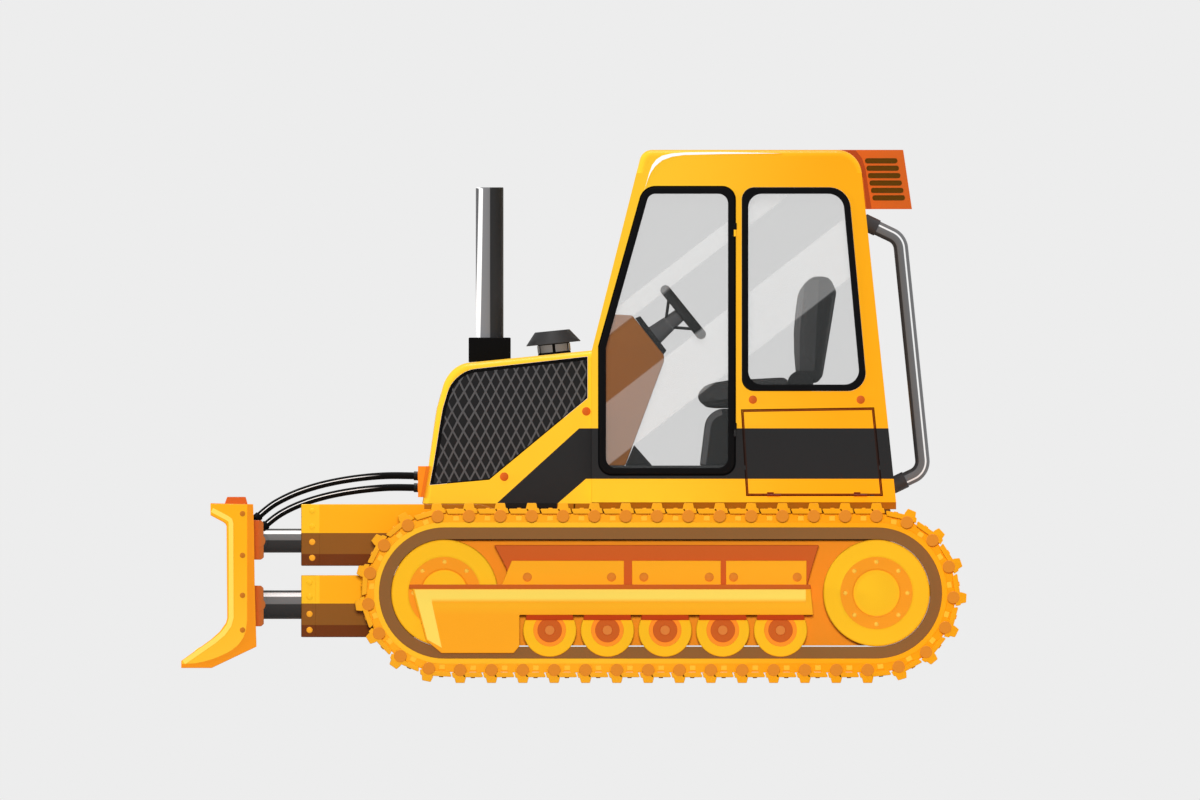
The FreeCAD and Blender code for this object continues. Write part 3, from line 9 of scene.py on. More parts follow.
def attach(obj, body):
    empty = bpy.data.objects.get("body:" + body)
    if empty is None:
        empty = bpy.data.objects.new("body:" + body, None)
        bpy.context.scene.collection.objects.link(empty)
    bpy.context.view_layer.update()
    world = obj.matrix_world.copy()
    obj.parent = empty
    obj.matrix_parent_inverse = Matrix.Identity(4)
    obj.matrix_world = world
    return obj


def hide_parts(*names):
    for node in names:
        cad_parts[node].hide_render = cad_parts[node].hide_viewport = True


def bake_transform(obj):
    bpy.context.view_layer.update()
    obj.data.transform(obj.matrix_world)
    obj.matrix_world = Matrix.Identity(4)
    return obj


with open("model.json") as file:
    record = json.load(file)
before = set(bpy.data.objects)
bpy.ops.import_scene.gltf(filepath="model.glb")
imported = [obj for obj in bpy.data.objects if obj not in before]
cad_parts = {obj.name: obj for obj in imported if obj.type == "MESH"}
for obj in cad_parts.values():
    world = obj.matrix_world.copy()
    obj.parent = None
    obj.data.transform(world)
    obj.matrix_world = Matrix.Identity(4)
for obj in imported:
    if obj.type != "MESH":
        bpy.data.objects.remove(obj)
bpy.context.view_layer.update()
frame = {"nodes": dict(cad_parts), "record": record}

# A crawler bulldozer. Sizes are millimetres in the machine's frame: +X forward, +Y left, +Z up.
MM = 0.001
SIDES = (("left", Matrix.Identity(4)), ("right", Matrix.Scale(-1, 4, (0, 1, 0))))
BOTH = tuple(place for side, place in SIDES)
HERE = (Matrix.Identity(4),)

# Running gear
IDLER_X = 776.0
SPROCKET_X = -1816.0
WHEEL_Z = 540.0
PIN_LINE_R = 462.0
SHOES = 43
TRACK_Y = 900.0
SHOE_W = 500.0
ROW_Y = 90.0
ROW_W = 60.0
RAIL_IN_R = 322.0
RAIL_OUT_R = 394.0
WHEEL_R = 321.0
HUB_OUT_Y = 1050.0
ROLLER_X = [145.0 - i * 346.25 for i in range(5)]
ROLLER_Z = 317.0
WEB_Y = 705.0
BEAM_OUT_Y = 1058.0
GUARD_OUT_Y = 1090.0

# Arms and blade
PIVOT_X = 90.0
LOWER_Z = 470.0
UPPER_Z = 854.0
ARM_Y0 = 490.0
ARM_Y1 = 600.0
ARM_Y = 545.0
ARM_X1 = 1636.0
ARM_WIDE_X = 560.0
BLADE_PIN_X = 1890.0
BLADE_Y = 1450.0

# Hood and cab
HOOD_Y = 430.0
CAB_Y = 700.0
CAB_WALL = 60.0
FRONT_X = -108.0
PILLAR = ((FRONT_X, 1997.0), (-380.0, 3079.0))
REAR = ((-1939.0, 1035.0), (-1730.0, 3034.0))
DOOR_OUTLINE = ((-153.0, 1251.0, 75.0), (-153.0, 2020.0, 0.0), (-421.0, 2975.0, 90.0),
                (-965.0, 2975.0, 75.0), (-965.0, 1251.0, 75.0))
WINDOW_OUTLINE = ((-1007.0, 1751.0, 75.0), (-1007.0, 2975.0, 75.0), (-1650.0, 2975.0, 130.0),
                  (-1762.0, 1751.0, 110.0))
FLAP_OUTLINE = ((-1041.0, 1129.0, 0.0), (-1011.0, 1634.0, 0.0), (-1795.0, 1646.0, 0.0),
                (-1847.0, 1129.0, 0.0))
MESH_OUTLINE = ((859.0, 1187.0, 0.0), (722.9, 1871.2, 180.0), (-83.0, 1960.0, 0.0),
                (-83.0, 1709.0, 0.0), (508.0, 1219.0, 0.0))
STEER_HUB = Vector((-656.0, 0.0, 2225.0))
STEER_AXIS = Vector((-math.cos(math.radians(38.9)), 0.0, math.sin(math.radians(38.9))))
STACK_X = 505.0
STACK_R = 83.0
CLEANER_X = 116.0

bodies = frame["record"]["behaviour"]["bodies"]
body_of = {node: body for body, nodes in bodies.items() for node in nodes}


def colour(code):
    """A written colour such as FFC72C as linear red, green and blue, with 1 for alpha."""
    values = [int(code[i:i + 2], 16) / 255 for i in (0, 2, 4)]
    return [v / 12.92 if v <= 0.04045 else ((v + 0.055) / 1.055) ** 2.4 for v in values] + [1.0]


class Value:
    """A number that varies over a surface. Arithmetic on it adds Math nodes."""

    def __init__(self, finish, socket):
        self.finish = finish
        self.socket = socket

    def work(self, operation, first, second):
        made = self.finish.node("ShaderNodeMath", {"operation": operation}, {0: first, 1: second})
        return Value(self.finish, made.outputs[0])

    def __add__(self, other):
        return self.work("ADD", self, other)

    __radd__ = __add__

    def __sub__(self, other):
        return self.work("SUBTRACT", self, other)

    def __rsub__(self, other):
        return self.work("SUBTRACT", other, self)

    def __mul__(self, other):
        return self.work("MULTIPLY", self, other)

    __rmul__ = __mul__

    def __gt__(self, other):
        return self.work("GREATER_THAN", self, other)

    def __lt__(self, other):
        return self.work("LESS_THAN", self, other)

    def __pow__(self, other):
        return self.work("POWER", self, other)

    def __abs__(self):
        return self.work("ABSOLUTE", self, None)

    def top(self, other):
        return self.work("MAXIMUM", self, other)

    def rise(self, start, end):
        """0 up to start, 1 from end, smooth between."""
        made = self.finish.node("ShaderNodeMapRange", {"interpolation_type": "SMOOTHSTEP"},
                                {"Value": self, "From Min": start, "From Max": end})
        return Value(self.finish, made.outputs["Result"])

    def between(self, low, high, soft=1.0):
        """1 from low to high, 0 outside, with soft edges."""
        return self.rise(low - soft, low + soft) * (1.0 - self.rise(high - soft, high + soft))


class Finish:
    """A procedural material. Its x, y and z are places on the machine, in millimetres."""

    def __init__(self, name, roughness=0.4, metallic=0.0, coat=0.0, shine=0.25):
        self.material = bpy.data.materials.new(name)
        self.material.use_nodes = True
        self.tree = self.material.node_tree
        self.shader = self.tree.nodes["Principled BSDF"]
        self.place = self.node("ShaderNodeTexCoord").outputs["Object"]
        split = self.node("ShaderNodeSeparateXYZ", {}, {0: self.place})
        self.x, self.y, self.z = [Value(self, out) * 1000.0 for out in split.outputs]
        self.set(Roughness=roughness, Metallic=metallic)
        self.shader.inputs["Coat Weight"].default_value = coat
        self.shader.inputs["Specular IOR Level"].default_value = shine
        self.shader.inputs["Coat Roughness"].default_value = 0.12

    def feed(self, socket, value):
        if value is None:
            return
        if isinstance(value, Value):
            value = value.socket
        if isinstance(value, bpy.types.NodeSocket):
            self.tree.links.new(value, socket)
        elif isinstance(value, str):
            socket.default_value = colour(value)
        else:
            socket.default_value = value

    def node(self, kind, settings=None, sockets=None):
        """Adds a node: its settings first, then the values or links of its sockets."""
        made = self.tree.nodes.new(kind)
        for key, value in (settings or {}).items():
            if key == "stops":
                ramp = made.color_ramp
                while len(ramp.elements) < len(value):
                    ramp.elements.new(1.0)
                for element, (position, code) in zip(ramp.elements, value):
                    element.position = position
                    element.color = colour(code)
            elif key == "steps":
                made.color_ramp.interpolation = value
            else:
                setattr(made, key, value)
        for key, value in (sockets or {}).items():
            self.feed(made.inputs[key], value)
        return made

    def set(self, **values):
        for name, value in values.items():
            self.feed(self.shader.inputs[name.replace("_", " ")], value)

    def mix(self, factor, first, second, blend="MIX"):
        """first where factor is 0, second where it is 1, as colours."""
        made = self.node("ShaderNodeMix", {"data_type": "RGBA", "blend_type": blend},
                         {0: factor, 6: first, 7: second})
        return made.outputs[2]

    def noise(self, size, detail=3.0, stretch=(1.0, 1.0, 1.0)):
        """Noise from 0 to 1 with lumps about size millimetres across, longer where stretch is small."""
        place = self.node("ShaderNodeMapping", {}, {"Vector": self.place, "Scale": stretch})
        made = self.node("ShaderNodeTexNoise", {},
                         {"Vector": place.outputs[0], "Scale": 1000.0 / size, "Detail": detail})
        return Value(self, made.outputs[0])

    def grain(self, size, detail=0.0):
        """Rounded cells, size millimetres across, as in leather and moulded plastic."""
        made = self.node("ShaderNodeTexVoronoi", {"feature": "SMOOTH_F1"},
                         {"Vector": self.place, "Scale": 1000.0 / size, "Detail": detail})
        return Value(self, made.outputs[0])

    def bump(self, height, depth):
        """Raises the surface by up to depth millimetres where height is 1."""
        made = self.node("ShaderNodeBump", {}, {"Strength": 1.0, "Distance": depth * MM, "Height": height})
        self.set(Normal=made.outputs[0])

    def band(self, stops, steps="LINEAR"):
        """Colours by the attribute turn, which goes from 0 to 1 around a bar."""
        turn = self.node("ShaderNodeAttribute", {"attribute_name": "turn"})
        made = self.node("ShaderNodeValToRGB", {"stops": stops, "steps": steps},
                         {0: turn.outputs["Fac"]})
        return made.outputs[0]


def paint(name, tone, roughness=0.4, coat=0.06, cloud=0.05, shine=0.2):
    """Sprayed paint: fine orange peel, faint cloudiness, a little uneven gloss."""
    finish = Finish(name, coat=coat, shine=shine)
    shade = tone(finish) if callable(tone) else tone
    clouds = finish.noise(380.0, 4.0)
    darker = finish.mix(1.0, shade, "D8D0C8", "MULTIPLY")
    finish.set(Base_Color=finish.mix(clouds * (cloud * 4.0), shade, darker),
               Roughness=roughness + (finish.noise(90.0, 5.0) - 0.5) * 0.14)
    finish.bump(finish.noise(2.6, 2.0), 0.05)
    return finish.material


def plastic(name, tone, size=2.2, roughness=0.55):
    """Moulded plastic with a fine pebbled grain."""
    finish = Finish(name, shine=0.12)
    shade = tone(finish) if callable(tone) else tone
    darker = finish.mix(1.0, shade, "B8B8B8", "MULTIPLY")
    finish.set(Base_Color=finish.mix(finish.grain(size), shade, darker),
               Roughness=roughness + (finish.noise(60.0) - 0.5) * 0.15)
    finish.bump(finish.grain(size), 0.12)
    return finish.material


def rubber(name, tone, roughness=0.6):
    finish = Finish(name, shine=0.06)
    finish.set(Base_Color=finish.mix(finish.noise(120.0, 5.0), tone, "101011"),
               Roughness=roughness + (finish.noise(35.0, 4.0) - 0.5) * 0.25)
    finish.bump(finish.noise(1.2, 3.0), 0.08)
    return finish.material


def banded(name, bands, roughness=0.42, soft=0.012):
    """Bright metal whose highlight and shade are painted on as light and dark bands along the bar, as (where
    each ends, colour).
    """
    finish = Finish(name, shine=0.12)
    stops = [(0.0, bands[0][1])]
    for (end, tone), (later, following) in zip(bands, bands[1:]):
        stops += [(end - soft, tone), (end + soft, following)]
    tone = finish.band(stops)
    finish.set(Base_Color=tone, Roughness=roughness + (finish.noise(40.0, 4.0, (0.05, 1.0, 1.0)) - 0.5) * 0.1)
    finish.bump(finish.noise(1.5, 2.0, (0.02, 1.0, 1.0)), 0.02)
    return finish.material


def machine_yellow(f):
    """Yellow that deepens towards the machine's rear."""
    return f.mix(f.x.rise(-1650.0, -350.0), "FFAE14", "FFC82E")


DECK_BROWN = "A86410"


def livery(f):
    """Machine yellow with the black band that climbs the hood and runs back along the cab."""
    front = f.z * (-496.0 / 451.0) + (464.0 + 1077.0 * 496.0 / 451.0)
    rear = f.z * (-171.0 / 148.0) + (98.0 + 1077.0 * 171.0 / 148.0)
    high = f.z > 1225.0
    mask = (f.x < front) * (f.z < 1528.0) * high.top(f.x > rear)
    shade = f.mix(mask, machine_yellow(f), "1F1F20")
    return f.mix((abs(f.y) > 702.0) * f.z.between(1120.0, 1145.0, 0.5), shade, "6E2404")


def arm_tone(centre, shade_top, deep_shade_top):
    """An arm's box: yellow above, with painted shade below: brown over its lower half and nearly black-brown at
    its foot.
    """
    def tone(f):
        yellow = f.mix(f.x.rise(700.0, 1450.0), "FF9E12", "FFB51B")
        yellow = f.mix(f.x.rise(1523.0, 1527.0), yellow, "FFC728")
        # Painted shade: the box's lower half brown, its foot darker brown.
        brown = f.mix(f.z.rise(deep_shade_top - 2.0, deep_shade_top + 2.0), "6B340E", "8A5720")
        tone = f.mix(f.z.rise(shade_top - 1.0, shade_top + 1.0), brown, yellow)
        return f.mix((f.x < 898.0) * (f.z > 1043.0), tone, DECK_BROWN)
    return tone


def guard_tone(f):
    """The guard's side, a little darker towards its foot."""
    return f.mix(f.z.rise(400.0, 470.0), "FFAA20", "FFB424")


def guard_gleam_tone(f):
    """The guard's painted highlight: sharp above, fading into the guard below."""
    front = f.x - f.z * 0.2246 > 742.0
    return f.mix(front.top(f.z.rise(482.0, 512.0)), "FFAE22", "FFDD60")


def rear_tone(front, rear):
    """A colour that deepens towards the machine's rear."""
    return lambda f: f.mix(f.x.rise(-1700.0, -100.0), rear, front)


def back_tone(f):
    """The seat back: a padded front with a painted highlight along its very edge, in a dark shell."""
    pad = (f.x + f.z * 0.05 > -1349.0) * (f.z < 2421.0) * (f.z > 1873.0)
    # Painted highlight along the pad's front edge.
    edge = f.x + (f.z - 2100.0).top(0.0) * 0.105 > -1355.0
    return f.mix(edge * (f.z > 1873.0) * (f.z < 2390.0), f.mix(pad, "2B2B2C", "454546"), "666667")


def cushion_tone(f):
    """The seat cushion: lighter above a slanted line near its foot, darker below."""
    return f.mix(f.z + f.x * 0.11 > 1602.0, "2B2B2C", "454546")


def deck_tone(f):
    """The edge under hood and cab: brown, black under the black band, dark grey inside the cab."""
    edge = f.mix(f.x.between(100.0, 456.0, 2.0), DECK_BROWN, "14100C")
    return f.mix(f.z > 1088.0, edge, "3A3A3A")


def manifold_tone(f):
    """Two oranges across the hood's nose, with black nuts on the hoses' ends."""
    side = (f.x - 905.0) + (f.z - 1077.0) * 0.179
    return f.mix(f.x > 936.5, f.mix(side > 22.0, "E2761A", "FF8E1E"), "121212")


def rim_highlight_tone(f):
    """Dark, with painted highlights at the steering wheel's top and bottom."""
    slope = math.radians(38.9)
    along = (f.x - STEER_HUB.x) * math.sin(slope) + (f.z - STEER_HUB.z) * math.cos(slope)
    return f.mix(abs(along) > 155.0, "2E2E2F", "666667")


def radius_tone(stops, xs, z):
    """Rings of colour by the distance from the nearest of several cross axles, wide to narrow."""
    def tone(f):
        shade = stops[0][1]
        away = None
        for x in xs:
            dx = f.x - x
            dz = f.z - z
            far = (dx * dx + dz * dz) ** 0.5
            away = far if away is None else away.work("MINIMUM", away, far)
        for radius, code in stops[1:]:
            shade = f.mix(away < radius, shade, code)
        return shade
    return tone


def leather(name, tone):
    """Seat cover with a fine cell grain, a little darker in its creases."""
    finish = Finish(name, shine=0.12)
    cells = finish.grain(3.2, 1.0)
    worn = finish.noise(160.0, 4.0)
    shade = tone(finish)
    darker = finish.mix(1.0, shade, "B4B4B4", "MULTIPLY")
    finish.set(Base_Color=finish.mix(cells * 0.5 + worn * 0.4, shade, darker),
               Roughness=0.46 + (worn - 0.5) * 0.2 + cells * 0.1)
    finish.bump(cells + finish.noise(1.4, 3.0) * 0.3, 0.25)
    return finish.material


def pane_finish():
    """Lightly tinted glass with pale slanted reflections."""
    finish = Finish("glass_tinted", roughness=0.06, shine=0.5)
    slant = finish.z + finish.x * 0.775
    light = slant.between(1925.0, 2057.0, 8.0).top(slant.between(1146.0, 1532.0, 8.0))
    finish.set(Base_Color=finish.mix(light, "5C6161", "DADCDC"), Alpha=0.085 + light * 0.06)
    return finish.material


YELLOW = paint("yellow_paint_gloss", livery)
PLAIN_YELLOW = paint("yellow_paint_plain", machine_yellow)
BLADE_YELLOW = paint("yellow_paint_blade", lambda f: f.mix(f.z.rise(100.0, 900.0), "FFC030", "FFB41A"))
BLADE_ORANGE = paint("orange_paint_blade", "F6941A")
# Pale yellow for the painted highlight strip along the blade's front edge; the cutting edge uses it too.
GLEAM = paint("pale_yellow_highlight_and_edge", "FFDD60", cloud=0.02)
GUARD_GLEAM = paint("pale_yellow_guard_highlight", guard_gleam_tone, cloud=0.02)
ORANGE = paint("orange_paint_gloss", "FF9A26")
# Deep orange: the track frames' case, which stands for a shaded recess as painted shade, and the blade's top
# rail.
DEEP_ORANGE_AND_SHADE = paint("orange_paint_deep_and_shade", "CC5E22")
BRACKET_ORANGE = paint("orange_paint_bracket", lambda f: f.mix(f.x.rise(1862.0, 1905.0), "B96A32", "D05F22"))
SEAM_BROWN = paint("seam_paint_brown", lambda f: f.mix(f.z.between(1225.0, 1528.0), "6E2404", "241008"),
                   roughness=0.5)
CAP_RED_AND_SHADE = paint("orange_paint_cap_and_shade", "BE3C08")
LID_YELLOW = paint("yellow_paint_lid", "FFAE22")
BOLT_BROWN = paint("bolt_paint_brown", "E0862A", roughness=0.45)
BOLT_DARK = paint("bolt_paint_dark", "C4731E", roughness=0.45)
BOLT_RED = paint("bolt_paint_red", "CC6020", roughness=0.5, shine=0.1)
BOLT_PALE = paint("bolt_paint_pale", "FFC94A", roughness=0.45)
BOLT_GOLD = paint("bolt_paint_gold", "FFB030", roughness=0.45)
UPPER_ARM = paint("upper_arm_paint_and_shade", arm_tone(UPPER_Z, 900.0, 774.0))
LOWER_ARM = paint("lower_arm_paint_and_shade", arm_tone(LOWER_Z, 477.0, 348.0))
GUARD = paint("orange_paint_guard", guard_tone)
GUARD_LIP = paint("orange_paint_lip", "C85E1C")
SHOE = paint("track_paint_shoe", rear_tone("FFB022", "FFA912"), roughness=0.44, coat=0.08, cloud=0.10)
LINK = paint("track_paint_link", rear_tone("FFB422", "FFAC12"), roughness=0.44, coat=0.08, cloud=0.08)
LINK_LIGHT = paint("track_paint_rail", rear_tone("FFC62C", "FFB014"), roughness=0.42, coat=0.10)
LINK_PAD = paint("track_paint_pad", "FFC93A", roughness=0.42, coat=0.10)
PIN_BROWN = paint("track_paint_pin", "E48A26", roughness=0.42, coat=0.10)
# Brown for the rails' inner band, which also stands for the shaded inside of the track: partly painted shade.
INNER_BAND_SHADE = paint("track_paint_inner_shade", "8A6034", roughness=0.5, coat=0.05)
WHEEL = paint("wheel_paint_disc", "FFC322", roughness=0.38)
WHEEL_RING = paint("wheel_paint_ring", "FA9D22", roughness=0.38)
ROLLER = paint("wheel_paint_roller", radius_tone(
    ((160.0, "FFC120"), (98.0, "FF9629"), (73.0, "CC6020"), (30.0, "E0823A")), ROLLER_X, ROLLER_Z))
DARK = paint("dark_paint_frame", "6B4424", roughness=0.5, coat=0.05, cloud=0.12)
DECK = paint("dark_paint_deck", deck_tone, roughness=0.5, coat=0.05)
BLACK = paint("black_paint_satin", "080809", roughness=0.5, coat=0.0, shine=0.06)
CHARCOAL = paint("black_paint_charcoal", "303031", roughness=0.5, coat=0.0, shine=0.12)
BACKING = paint("black_paint_backing", "262627", roughness=0.6, coat=0.0, shine=0.1)
ENGINE = paint("engine_paint_cast", "26282A", roughness=0.62, coat=0.0, cloud=0.2)
MESH_GREY = paint("mesh_steel_grey", "58585A", roughness=0.5, coat=0.0, shine=0.1)
CLEANER_GREY = paint("cleaner_window_grey", "757577", roughness=0.3)
RUBBER = rubber("black_rubber_seal", "0A0A0B")
HOSE_RUBBER = Finish("hose_rubber_painted_highlight", roughness=0.6, shine=0.06)
GREY_PLASTIC = plastic("grey_plastic_grained", "646466")
BLACK_PLASTIC = plastic("black_plastic_grained", "2A2A2B")
RIM_PLASTIC = plastic("grey_plastic_rim", rim_highlight_tone)
COLUMN_GREY = plastic("grey_plastic_column", "606062")
BROWN_PLASTIC = plastic("brown_plastic_grained", "AA6C34", size=3.0)
BACK_COVER = leather("seat_cover_back", back_tone)
CUSHION_COVER = leather("seat_cover_cushion", cushion_tone)
GLASS = pane_finish()
AC_ORANGE = paint("orange_paint_cooler", "D3621F")
AC_SHADE = paint("orange_cooler_painted_shade", "A8451A")
SLOT_BROWN = paint("slot_paint_brown", "5C3A04", roughness=0.6, coat=0.0)
HIGHLIGHT_WHITE = paint("white_painted_highlight", "FFFFFF", roughness=0.2, coat=0.5, cloud=0.0)
MANIFOLD = paint("orange_paint_manifold", manifold_tone)
# Painted reflections: the rods', stack's and tubes' white highlight and dark far side are bands in the colour.
ROD = banded("rod_steel_painted_reflection", (
    (0.52, "343434"), (0.78, "6E6E6E"), (0.92, "FFFFFF"), (1.0, "4C4C4C")))
STACK = banded("exhaust_steel_painted_reflection", (
    (0.49, "2C2C2D"), (0.745, "78787A"), (0.89, "FFFFFF"), (1.0, "58585A")))
TUBE = banded("tube_steel_painted_reflection", (
    (0.24, "3A3A3B"), (0.67, "686869"), (0.78, "E6E6E6"), (1.0, "666667")))
# Painted shade and highlight: the lift barrels darker below, lighter above.
BARREL = banded("orange_barrel_painted_shading", (
    (0.3, "B4521C"), (0.55, "D06422"), (0.8, "FF9A26"), (1.0, "FFB64A")), soft=0.04)
SLEEVE = paint("tube_steel_sleeve", "363435", roughness=0.4)

# Painted highlight: a white line along each hose near its top, away from the nose.
hose_highlight_tone = HOSE_RUBBER.band((
    (0.0, "0C0C0C"), (0.565, "0C0C0C"), (0.575, "FFFFFF"), (0.665, "FFFFFF"), (0.675, "080808"),
    (1.0, "060606")))
HOSE_RUBBER.set(Base_Color=HOSE_RUBBER.mix(HOSE_RUBBER.x.rise(1150.0, 1300.0), "0C0C0C", hose_highlight_tone))
HOSE_RUBBER.bump(HOSE_RUBBER.noise(1.6, 3.0), 0.1)


def place_on(a, b):
    """A frame at the middle of a and b with its Z axis from a to b."""
    a = Vector(a)
    b = Vector(b)
    return Matrix.Translation((a + b) / 2) @ (b - a).to_track_quat("Z", "Y").to_matrix().to_4x4()


def across(x, z, y=0.0):
    """A frame whose Z axis points left across the machine, at (x, z)."""
    return Matrix.Translation((x, y, z)) @ Matrix.Rotation(math.radians(-90), 4, "X")


def rounded(points, step=9.0):
    """A side outline of (x, z, corner radius) as (x, z) points, its corners in short steps."""
    outline = []
    for i, (x, z, radius) in enumerate(points):
        corner = Vector((x, z))
        if radius <= 0:
            outline.append((x, z))
            continue
        before = (Vector(points[i - 1][:2]) - corner).normalized()
        after = (Vector(points[(i + 1) % len(points)][:2]) - corner).normalized()
        half = before.angle(after) / 2
        centre = corner + (before + after).normalized() * (radius / math.sin(half))
        start = corner + before * (radius / math.tan(half)) - centre
        end = corner + after * (radius / math.tan(half)) - centre
        turn = math.pi - 2 * half
        count = max(2, math.ceil(math.degrees(turn) / step))
        for k in range(count + 1):
            t = k / count
            arm = (start * math.sin((1 - t) * turn) + end * math.sin(t * turn)) / math.sin(turn)
            outline.append(tuple(centre + arm))
    return outline


def grown(outline, d):
    """A side outline of (x, z) points moved outwards by d, inwards where d is negative."""
    pairs = zip(outline, outline[1:] + outline[:1])
    turn = 1.0 if sum(p[0] * q[1] - q[0] * p[1] for p, q in pairs) > 0 else -1.0
    moved = []
    for i in range(len(outline)):
        a = Vector(outline[i - 1])
        b = Vector(outline[i])
        c = Vector(outline[(i + 1) % len(outline)])
        u = (b - a).normalized()
        w = (c - b).normalized()
        normal = Vector((u.y, -u.x)) * turn
        middle = (normal + Vector((w.y, -w.x)) * turn).normalized()
        moved.append(tuple(b + middle * (d / max(0.3, middle.dot(normal)))))
    return moved


def stadium(radius, step=5.0):
    """The outline around both wheel axles, with round ends."""
    outline = []
    count = int(180 / step)
    for x, first in ((IDLER_X, 90.0), (SPROCKET_X, -90.0)):
        for k in range(count + 1):
            angle = math.radians(first - 180.0 * k / count)
            outline.append((x + radius * math.cos(angle), WHEEL_Z + radius * math.sin(angle)))
    return outline


def arc(cx, cz, radius, first, last, count):
    """Points on a circle from one angle to another, in degrees."""
    angles = [math.radians(first + (last - first) * k / count) for k in range(count + 1)]
    return [(cx + radius * math.cos(a), cz + radius * math.sin(a)) for a in angles]


# How far the nose's pressed front stands out at each height
NOSE_BOW = ((1077.0, 5.0), (1150.0, 6.0), (1305.0, 8.0), (1415.0, 12.0), (1525.0, 16.5), (1600.0, 19.0),
            (1650.0, 19.5), (1712.0, 13.0), (1772.0, 8.0), (1816.0, 3.0), (1850.0, 0.0))


def bow_at(z):
    if z <= NOSE_BOW[0][0]:
        return NOSE_BOW[0][1]
    for (low, first), (high, second) in zip(NOSE_BOW, NOSE_BOW[1:]):
        if z <= high:
            return first + (second - first) * (z - low) / (high - low)
    return 0.0


class Shape:
    """A mesh in the making, in millimetres, put together from parts."""

    def __init__(self):
        self.bm = bmesh.new()

    def add(self, part, edge=0.0, tint=0, places=HERE, segments=2, limit=28.0):
        """Rounds a part's edges, gives it the finish numbered tint and adds it at each place."""
        bmesh.ops.recalc_face_normals(part, faces=part.faces)
        if edge:
            sharp = [e for e in part.edges
                     if len(e.link_faces) == 2 and e.calc_face_angle() > math.radians(limit)]
            bmesh.ops.bevel(part, geom=sharp, offset=edge, offset_type="OFFSET", segments=segments,
                            profile=0.5, affect="EDGES", material=-1, clamp_overlap=True)
        if tint is not None:
            for face in part.faces:
                face.material_index = tint
        mesh = bpy.data.meshes.new("part")
        part.to_mesh(mesh)
        part.free()
        for place in places:
            start = len(self.bm.verts)
            self.bm.from_mesh(mesh)
            self.bm.verts.ensure_lookup_table()
            bmesh.ops.transform(self.bm, matrix=place, verts=self.bm.verts[start:])
        bpy.data.meshes.remove(mesh)
        return self

    def plate(self, outline, y0, y1, edge=3.0, **more):
        """A side outline of (x, z) points, extruded across from y0 to y1."""
        part = bmesh.new()
        face = part.faces.new([part.verts.new((x, y0, z)) for x, z in outline])
        made = bmesh.ops.extrude_face_region(part, geom=[face])
        moved = [v for v in made["geom"] if isinstance(v, bmesh.types.BMVert)]
        bmesh.ops.translate(part, vec=(0, y1 - y0, 0), verts=moved)
        return self.add(part, edge, **more)

    def ring(self, outer, inner, y0, y1, edge=3.0, **more):
        """The band between two side outlines of as many points, extruded across."""
        part = bmesh.new()
        edges = []
        for outline in (outer, inner):
            verts = [part.verts.new((x, y0, z)) for x, z in outline]
            edges += [part.edges.new(pair) for pair in zip(verts, verts[1:] + verts[:1])]
        faces = bmesh.ops.bridge_loops(part, edges=edges)["faces"]
        made = bmesh.ops.extrude_face_region(part, geom=faces)
        moved = [v for v in made["geom"] if isinstance(v, bmesh.types.BMVert)]
        bmesh.ops.translate(part, vec=(0, y1 - y0, 0), verts=moved)
        return self.add(part, edge, **more)

    def block(self, x0, x1, y0, y1, z0, z1, edge=3.0, **more):
        part = bmesh.new()
        middle = Vector(((x0 + x1) / 2, (y0 + y1) / 2, (z0 + z1) / 2))
        size = Vector((abs(x1 - x0), abs(y1 - y0), abs(z1 - z0)))
        bmesh.ops.create_cube(part, size=1.0, matrix=Matrix.LocRotScale(middle, None, size))
        return self.add(part, edge, **more)

    def bar(self, a, b, radius, end_radius=None, edge=2.0, sides=40, **more):
        """A round bar or cone from a to b."""
        part = bmesh.new()
        bmesh.ops.create_cone(part, cap_ends=True, segments=sides, radius1=radius,
                              radius2=radius if end_radius is None else end_radius,
                              depth=(Vector(b) - Vector(a)).length, matrix=place_on(a, b))
        return self.add(part, edge, **more)

    def spun(self, profile, place, steps=64, edge=0.0, **more):
        """A profile of (radius, height) points, spun about the Z axis of the frame place."""
        part = bmesh.new()
        verts = [part.verts.new((r, 0, h)) for r, h in profile]
        edges = [part.edges.new(pair) for pair in zip(verts, verts[1:])]
        bmesh.ops.spin(part, geom=verts + edges, cent=(0, 0, 0), axis=(0, 0, 1),
                       angle=math.tau, steps=steps, use_merge=True)
        bmesh.ops.remove_doubles(part, verts=part.verts, dist=0.01)
        bmesh.ops.transform(part, matrix=place, verts=part.verts)
        return self.add(part, edge, **more)

    def bolt(self, x, z, y, radius, height=9.0, tint=0, places=BOTH):
        """A domed bolt head on a face that looks left, and its twin on the right."""
        head = ((0, height), (radius * 0.45, height * 0.97), (radius * 0.8, height * 0.72),
                (radius * 0.97, height * 0.3), (radius, 0), (radius, -3.0))
        return self.spun(head, across(x, z, y), steps=28, tint=tint, places=places)

    def bow(self):
        """Bends everything near the nose's front forward, as the pressed sheet is."""
        for z, out in NOSE_BOW:
            bmesh.ops.bisect_plane(self.bm, geom=self.bm.verts[:] + self.bm.edges[:] + self.bm.faces[:],
                                   plane_co=(0, 0, z), plane_no=(0, 0, 1))
        for vert in self.bm.verts:
            vert.co.x += bow_at(vert.co.z) * min(1.0, max(0.0, (vert.co.x - 560.0) / 120.0))
        return self

    def copy_of(self, node, edge, tint=0, limit=35.0):
        """A CAD node's form with its edges rounded."""
        part = bmesh.new()
        part.from_mesh(frame["nodes"][node].data)
        bmesh.ops.scale(part, vec=(1000.0,) * 3, verts=part.verts)
        bmesh.ops.remove_doubles(part, verts=part.verts, dist=0.02)
        bmesh.ops.dissolve_limit(part, angle_limit=math.radians(1.5), verts=part.verts, edges=part.edges)
        return self.add(part, edge, tint, limit=limit)


